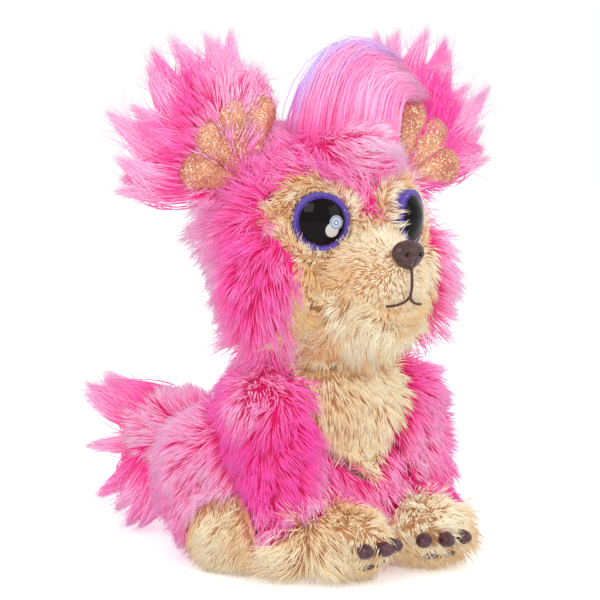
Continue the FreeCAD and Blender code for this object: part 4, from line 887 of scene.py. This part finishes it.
# %% Ear shells
for side, sign in SIDES:
    name = "ear_shell_quilt_" + side
    bm = bmesh.new()
    bmesh.ops.create_grid(bm, x_segments=100, y_segments=30, size=0.5)
    for vertex in bm.verts:
        share, reach = vertex.co.x + 0.5, vertex.co.y + 0.5
        ray = share * RAYS - 0.5
        angle = math.radians(FIRST_RAY + RAY_STEP * ray)
        crown = abs(math.cos(math.pi * (ray - round(ray))))
        edge = SHELL_DIP + (SHELL_TIP - SHELL_DIP) * crown ** 0.6
        radius = SHELL_ROOT + (edge - SHELL_ROOT) * reach
        rim = min(1.0, 6 * (1 - reach), 8 * share, 8 * (1 - share))
        puff = SHELL_PUFF * crown ** 0.5 * math.sqrt(max(0, rim)) * min(1, 0.3 + reach)
        place = Vector((radius * math.cos(angle), -SHELL_AHEAD - puff, radius * math.sin(angle)))
        vertex.co = EAR + place * MM
        vertex.co.x *= sign
    bmesh.ops.recalc_face_normals(bm, faces=bm.faces[:])
    bmesh.ops.solidify(bm, geom=bm.faces[:], thickness=SHELL_THICK * MM)
    bmesh.ops.recalc_face_normals(bm, faces=bm.faces[:])
    shell = from_bmesh(name, bm)
    shell.data.materials.append(gilt_cloth)
    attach(shell, "ear_" + side)
    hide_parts("ear_shell_" + side)
    print(name, len(shell.data.polygons), "faces")

# %% [markdown]
# ## Eyes
# An eye is a violet cup, a disc and a glossy dome over it.  The three come from the CAD model.  The
# dome gets its print here: a black pupil and a thin violet iris, and on the right eye a painted
# reflection of a lamp, a spot with rings and a pale wedge.  The print reads its own place, turned so
# that it lies flat in the eye.

# %% Eye finishes
EYE_SPLAY = math.radians(25)     # how far each eye looks outwards
PUPIL = 12.6                     # millimetres
REFLECTED_SPOT, REFLECTED_WEDGE, REFLECTED_RADIUS = (7.2, -0.4), (4.9, -4.4), 3.8   # millimetres on the print: the painted reflection's ringed spot, its pale wedge, and their radius
REFLECTED_RINGS = 3.6                      # turns of the painted reflection's rings over a millimetre, in radians


def flat_place(tree, sign):
    """The place on an eye's disc: X across it, Y up it, in millimetres from its middle."""
    centre = Vector((sign * EYE.x, EYE.y, EYE.z))
    turn = (math.radians(90), 0, sign * EYE_SPLAY)
    mapped = node(tree, "Mapping", {"vector_type": "TEXTURE"}, Vector=object_place(tree), Location=centre,
                  Rotation=turn, Scale=(MM, MM, MM))
    return mapped.outputs[0]


def disc_mask(tree, place, x, y, radius, soft=0.25):
    """1 within a disc on the print and 0 outside it, and the distance from its middle."""
    middle = node(tree, "VectorMath", {"operation": "SUBTRACT"}, i0=place, i1=(x, y, 0)).outputs[0]
    level = node(tree, "VectorMath", {"operation": "MULTIPLY"}, i0=middle, i1=(1, 1, 0)).outputs[0]
    far = node(tree, "VectorMath", {"operation": "LENGTH"}, i0=level).outputs["Value"]
    return spread(tree, far, radius - soft, radius + soft, 1.0, 0.0), far


def with_painted_reflection(tree, place, printed):
    """A painted reflection of a lamp: a ringed spot and a pale wedge below it, kept inside the pupil."""
    inside, _ = disc_mask(tree, place, 0, 0, PUPIL - 0.6)
    reflected_wedge, _ = disc_mask(tree, place, *REFLECTED_WEDGE, REFLECTED_RADIUS)
    printed = blend_colours(tree, maths(tree, "MULTIPLY", reflected_wedge, inside), printed, paint(206, 200, 196))
    light, reflected_far = disc_mask(tree, place, *REFLECTED_SPOT, REFLECTED_RADIUS)
    rings = maths(tree, "SINE", maths(tree, "MULTIPLY", reflected_far, REFLECTED_RINGS))
    painted_shine = blend_colours(tree, spread(tree, rings, -1.4, 1.0), paint(96, 110, 136), paint(204, 216, 230))
    return blend_colours(tree, maths(tree, "MULTIPLY", light, inside), printed, painted_shine)


def eye_print_and_reflection(name, sign):
    """A black pupil with a thin violet ring, and on the right eye a painted reflection of a lamp."""
    made, tree, shader = material(name, Roughness=0.05, Specular_IOR_Level=0.12)
    place = flat_place(tree, sign)
    pupil, _ = disc_mask(tree, place, 0, 0, PUPIL, 0.15)
    rays = node(tree, "TexNoise", Vector=place, Scale=0.55, Detail=5.0, Roughness=0.7).outputs[0]
    violet = blend_colours(tree, spread(tree, rays, 0.35, 0.7), paint(60, 36, 120), paint(92, 66, 168))
    printed = blend_colours(tree, pupil, violet, paint(10, 4, 5))
    # only the right eye gets the painted reflection of a lamp
    if sign < 0:
        printed = with_painted_reflection(tree, place, printed)
    tree.links.new(printed, shader.inputs["Base Color"])
    haze = node(tree, "TexNoise", Vector=place, Scale=0.3).outputs[0]
    bumped(tree, shader, haze, 0.02, 0.0002)
    return made


# %% Moulded plastic and metal
GRAIN, ins, outs = group("mould_grain", {"Color": "Color", "Dark": "Color", "Size": "Float"},
                         {"Color": "Color", "Height": "Float", "Roughness": "Float"})
spot = object_place(GRAIN)
fine = node(GRAIN, "TexNoise", Vector=spot, Scale=ins["Size"], Detail=6.0).outputs[0]
broad = node(GRAIN, "TexNoise", Vector=spot, Scale=40.0, Detail=3.0).outputs[0]
mottled = blend_colours(GRAIN, spread(GRAIN, broad, 0.3, 0.7), ins["Dark"], ins["Color"])
GRAIN.links.new(mottled, outs["Color"])
GRAIN.links.new(fine, outs["Height"])
GRAIN.links.new(spread(GRAIN, broad, 0.3, 0.7, 0.34, 0.5), outs["Roughness"])


def moulded(name, colour, dark, size=2500.0, strength=0.12, **constants):
    """A moulded or pressed finish with a fine grain."""
    made, tree, shader = material(name, **constants)
    grain = placed(tree, GRAIN, Color=colour, Dark=dark, Size=size)
    tree.links.new(grain["Color"], shader.inputs["Base Color"])
    tree.links.new(grain["Roughness"], shader.inputs["Roughness"])
    bumped(tree, shader, grain["Height"], strength, 0.0002)
    return made


FINISHES = {
    moulded("eye_cup_gloss", paint(96, 72, 176), paint(62, 40, 120)): ["eye_cup_right", "eye_cup_left"],
    moulded("casing_plastic", paint(232, 226, 218), paint(222, 214, 205)):
        ["body_shell_front", "body_shell_rear", "skull_front", "skull_rear", "battery_tray", "switch_case"],
    moulded("door_plastic", paint(196, 186, 178), paint(180, 170, 162)): ["battery_door", "ear_plate"],
    moulded("gear_plastic", paint(240, 238, 226), paint(226, 222, 206)):
        ["nod_gear", "ear_lever_right", "ear_lever_left", "tail_arm",
         "nod_pinion", "tail_pinion", "ear_pinion"],
    moulded("switch_plastic", paint(40, 38, 42), paint(26, 24, 28)): ["power_switch"],
    moulded("bright_steel", paint(196, 198, 202), paint(168, 170, 176), 1800.0, Metallic=1.0):
        ["body_screws", "skull_screws", "ear_plate_screws", "door_screw", "ear_pins", "nod_axle", "tail_pin"],
    moulded("motor_can", paint(176, 178, 184), paint(146, 148, 156), 1200.0, Metallic=0.9):
        ["nod_motor", "tail_motor", "ear_motor"],
    moulded("spring_contact", paint(214, 190, 140), paint(190, 160, 110), 1500.0, Metallic=1.0):
        ["battery_contacts"],
    moulded("cell_jacket", paint(58, 92, 72), paint(34, 60, 46)): ["batteries"],
    moulded("circuit_green", paint(28, 104, 66), paint(16, 76, 48), 900.0, 0.3): ["circuit_board"],
    moulded("speaker_paper", paint(46, 44, 46), paint(26, 26, 28), 700.0, 0.5): ["speaker"],
    eye_print_and_reflection("eye_print_and_reflection_right", -1): ["iris_right", "eye_lens_right"],
    eye_print_and_reflection("eye_print_left", 1): ["iris_left", "eye_lens_left"],
}
for finish, names in FINISHES.items():
    for name in names:
        NODES[name].data.materials.clear()
        NODES[name].data.materials.append(finish)
print("finishes for", sum(len(names) for names in FINISHES.values()), "carried-over nodes")

# %% [markdown]
# ## Nose, mouth and claws
# The nose is one moulded piece of dark vinyl with a pebbled skin, two nostrils and a groove below.
# It starts as a ball whose vertices are pulled into shape.  The mouth is a row of thread stitches,
# each claw is a stuffed vinyl bean, and two flat vinyl ovals lie under the claws of each paw.

# %% Dark vinyl
def pebbled(name, colour, light, scale, strength):
    """A dark vinyl with a pebbled skin."""
    made, tree, shader = material(name, Roughness=0.28, Specular_IOR_Level=0.5)
    place = object_place(tree)
    warped = node(tree, "TexNoise", Vector=place, Scale=300.0, Detail=3.0)
    cells = node(tree, "TexVoronoi", {"feature": "SMOOTH_F1"}, Vector=place, Scale=scale).outputs["Distance"]
    patch = spread(tree, warped.outputs[0], 0.35, 0.7)
    tree.links.new(blend_colours(tree, patch, colour, light), shader.inputs["Base Color"])
    bumped(tree, shader, cells, strength, 0.0005)
    return made


nose_vinyl = pebbled("nose_vinyl", paint(50, 22, 22), paint(82, 44, 42), 900.0, 0.7)
claw_vinyl = pebbled("claw_vinyl", paint(62, 22, 32), paint(100, 52, 66), 700.0, 0.35)


def rounded(name, bm, finish, body, slot, *stands_for):
    """Finish a small hard piece from its bmesh."""
    bmesh.ops.recalc_face_normals(bm, faces=bm.faces[:])
    item = from_bmesh(name, bm)
    item.data.materials.append(finish)
    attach(item, body)
    if stands_for:
        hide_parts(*stands_for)
    print(name, len(item.data.polygons), "faces")
    return item


# %% Nose
NOSE_SWELL = Vector((1.06, 1.1, 1.16))   # the vinyl stands a little proud of its CAD ball
NOSTRIL, NOSTRIL_HALF, NOSTRIL_DEEP = (0.42, 0.06), (0.24, 0.20), 0.42
low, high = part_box("nose")
nose_middle, nose_half = (low + high) / 2, (high - low) / 2
bm = bmesh.new()
bmesh.ops.create_icosphere(bm, subdivisions=5, radius=1)
for vertex in bm.verts:
    x, y, z = vertex.co
    x *= 1.0 + 0.16 * z - 0.10 * max(0, -z)
    y *= 1.0 + 0.10 * z
    for nostril in (-1, 1):
        gap = math.hypot((x - nostril * NOSTRIL[0]) / NOSTRIL_HALF[0], (z - NOSTRIL[1]) / NOSTRIL_HALF[1])
        if y < 0 and gap < 1:
            y += NOSTRIL_DEEP * (1 - gap * gap) ** 1.5
    if y < 0 and z < -0.1:
        y += 0.10 * math.exp(-(x / 0.09) ** 2) * min(1, -z * 2)
    vertex.co = (x, y, z)
nose_form = Matrix.Diagonal((*(half * swell for half, swell in zip(nose_half, NOSE_SWELL)), 1))
bmesh.ops.transform(bm, matrix=Matrix.Translation(nose_middle) @ nose_form, verts=bm.verts)
rounded("nose_vinyl_piece", bm, nose_vinyl, "head", "dark_gloss", "nose")

# %% Mouth
MUZZLE, MUZZLE_HALF = Vector((0, -48, 162)), Vector((30, 28, 26))
MOUTH_TOP, MOUTH_DROP, MOUTH_WIDTH, MOUTH_CURL = 169.5, 15, 12, 6
MOUTH_PROUD = 1.2                        # millimetres before the muzzle's CAD surface
DROP_STITCHES, CURL_STITCHES = 12, 14
STITCH_HALF = (0.9 * MM, 0.8 * MM)       # across and proud of the muzzle


def on_muzzle(x, z):
    """A point on the muzzle's front, just proud of the pile."""
    depth = math.sqrt(1 - (x / MUZZLE_HALF.x) ** 2 - ((z - MUZZLE.z) / MUZZLE_HALF.z) ** 2)
    return Vector((x, MUZZLE.y - MUZZLE_HALF.y * depth - MOUTH_PROUD, z)) * MM


thread, tree, shader = material("mouth_thread", Roughness=0.75, Sheen_Weight=0.2)
twist = node(tree, "TexWave", {"bands_direction": "DIAGONAL"}, Vector=object_place(tree),
             Scale=900.0).outputs[1]
tree.links.new(blend_colours(tree, twist, paint(62, 28, 26), paint(96, 52, 46)), shader.inputs["Base Color"])
bumped(tree, shader, twist, 0.5, 0.0003)
MOUTH_LOW = MOUTH_TOP - MOUTH_DROP
runs = [[on_muzzle(0, MOUTH_TOP - MOUTH_DROP * step / DROP_STITCHES) for step in range(DROP_STITCHES + 1)]]
for _, sign in SIDES:
    turns = [math.radians(90 * step / CURL_STITCHES) for step in range(CURL_STITCHES + 1)]
    runs.append([on_muzzle(sign * MOUTH_WIDTH * (1 - math.cos(turn)), MOUTH_LOW - MOUTH_CURL * math.sin(turn))
                 for turn in turns])
bm = bmesh.new()
for run in runs:
    for start, end in zip(run, run[1:]):
        along = end - start
        turn = along.to_track_quat("Z", "Y").to_matrix().to_4x4()
        size = Matrix.Diagonal((*STITCH_HALF, along.length * 0.8, 1))
        bmesh.ops.create_uvsphere(bm, u_segments=8, v_segments=6, radius=1,
                                  matrix=Matrix.Translation((start + end) / 2) @ turn @ size)
rounded("mouth_stitches", bm, thread, "head", "thread", "mouth_stitch")

# %% Claws and ovals
PAW, PAW_HALF, PAW_TURN = Vector((29, -48, 22)), Vector((26, 33, 22)), math.radians(12)
CLAW_SPREAD, CLAW_LEVEL, CLAW_PROUD = 11.5, 20.5, 0.6
OVAL_SPREAD, OVAL_LEVEL, OVAL_PROUD = 6.5, 10.5, -0.4
CLAW_HALF, OVAL_HALF = (4.4, 5.8, 3.9), (5.2, 0.9, 2.6)


def on_paw(sign, across, level, proud, half):
    """A matrix that sets a ball of that size on the front of a paw, with its -Y pointing out."""
    up = level - PAW.z
    ahead = PAW_HALF.y * math.sqrt(1 - (across / PAW_HALF.x) ** 2 - (up / PAW_HALF.z) ** 2)
    turn = Matrix.Rotation(-sign * PAW_TURN, 4, "Z")
    square = [radius ** 2 for radius in PAW_HALF]
    out = turn @ Vector((across / square[0], -ahead / square[1], up / square[2])).normalized()
    spot = Vector((sign * PAW.x, PAW.y, PAW.z)) + turn @ Vector((across, -ahead, up))
    facing = out.to_track_quat("-Y", "Z").to_matrix().to_4x4()
    size = Matrix.Diagonal((*(length * MM for length in half), 1))
    return Matrix.Translation((spot + out * proud) * MM) @ facing @ size


for side, sign in SIDES:
    bm = bmesh.new()
    for place in (-1, 0, 1):
        made = bmesh.ops.create_icosphere(bm, subdivisions=3, radius=1)["verts"]
        for vertex in made:
            vertex.co.x *= 1 - 0.14 * vertex.co.y
            vertex.co.z += 0.16 * (1 - abs(vertex.co.y)) * (vertex.co.z > 0)
        shape = on_paw(sign, place * CLAW_SPREAD, CLAW_LEVEL, CLAW_PROUD, CLAW_HALF)
        bmesh.ops.transform(bm, matrix=shape, verts=made)
    rounded("claw_beans_" + side, bm, claw_vinyl, "torso", "dark_gloss", "claws_" + side)
    bm = bmesh.new()
    for place in (-1, 1):
        shape = on_paw(sign, place * OVAL_SPREAD, OVAL_LEVEL, OVAL_PROUD, OVAL_HALF)
        bmesh.ops.create_icosphere(bm, subdivisions=3, radius=1, matrix=shape)
    rounded("sole_pads_" + side, bm, claw_vinyl, "torso", "dark_gloss")

# %% [markdown]
# ## Floor, light and camera
# A plain pale floor and backdrop, soft light from a bright room and two broad lamps, and a camera a
# little above the floor, to the right front of the puppy.

# %% Floor and room
FLOOR_GLOW, ROOM_LIGHT = 0.42, 0.95
WHITE = (1, 1, 1, 1)


def looked_at(tree):
    """1 for rays that the camera sees, straight, mirrored or through something clear, and 0 for the rest."""
    seen = tree.nodes.new("ShaderNodeLightPath").outputs
    mirrored = maths(tree, "MAXIMUM", seen["Is Glossy Ray"], seen["Is Transmission Ray"])
    return maths(tree, "MAXIMUM", seen["Is Camera Ray"], mirrored)


floor_paint, tree, shader = material("floor_paint", Roughness=0.9, Emission_Color=WHITE)
speck = node(tree, "TexNoise", Vector=object_place(tree), Scale=30.0).outputs[0]
speckled = blend_colours(tree, speck, paint(236, 236, 236), paint(240, 240, 240))
tree.links.new(speckled, shader.inputs["Base Color"])
tree.links.new(maths(tree, "MULTIPLY", looked_at(tree), FLOOR_GLOW), shader.inputs["Emission Strength"])
bm = bmesh.new()
bmesh.ops.create_grid(bm, x_segments=8, y_segments=8, size=4.0)
ground = from_bmesh("floor", bm, smooth=False)
ground.data.materials.append(floor_paint)
ground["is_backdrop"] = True

world = bpy.data.worlds.new("room")
bpy.context.scene.world = world
world.use_nodes = True
tree = world.node_tree
background = tree.nodes["Background"]
background.inputs["Color"].default_value = WHITE
tree.links.new(spread(tree, looked_at(tree), 0.0, 1.0, ROOM_LIGHT, 1.0), background.inputs["Strength"])


def lamp(name, place, aim, width, power):
    """A square area lamp that points at a place."""
    data = bpy.data.lights.new(name, "AREA")
    data.size, data.energy = width, power
    item = bpy.data.objects.new(name, data)
    item.location = place
    item.rotation_euler = (Vector(aim) - Vector(place)).to_track_quat("-Z", "Y").to_euler()
    bpy.context.scene.collection.objects.link(item)


PUPPY_MIDDLE = (0, 0, 0.15)
lamp("key", (-1.6, -1.0, 1.7), PUPPY_MIDDLE, 1.1, 14)
lamp("fill", (0.9, -1.8, 1.0), PUPPY_MIDDLE, 1.2, 8)

# %% Camera
AZIMUTH, ELEVATION, DISTANCE = math.radians(-38), math.radians(5), 1.3
VIEW_WIDTH = 0.335               # metres seen from side to side at the puppy's middle
AIM_LEVEL, AIM_LEFT = 0.1465, 0.0121     # metres above the floor, and to the camera's left of the middle
SENSOR = 36                      # millimetres
level = math.cos(ELEVATION)
back = Vector((math.sin(AZIMUTH) * level, -math.cos(AZIMUTH) * level, math.sin(ELEVATION)))
right = Vector((math.cos(AZIMUTH), math.sin(AZIMUTH), 0))
aim = Vector((0, 0, AIM_LEVEL)) - AIM_LEFT * right
eye = bpy.data.cameras.new("camera")
eye.sensor_width = SENSOR
eye.lens = SENSOR * DISTANCE / VIEW_WIDTH
camera = bpy.data.objects.new("camera", eye)
camera.location = aim + DISTANCE * back
camera.rotation_euler = (-back).to_track_quat("-Z", "Y").to_euler()
bpy.context.scene.collection.objects.link(camera)
bpy.context.scene.camera = camera
bpy.context.scene.view_settings.view_transform = "Standard"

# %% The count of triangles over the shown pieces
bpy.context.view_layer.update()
print("triangles:", sum(len(p.vertices) - 2 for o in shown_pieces() for p in o.data.polygons))
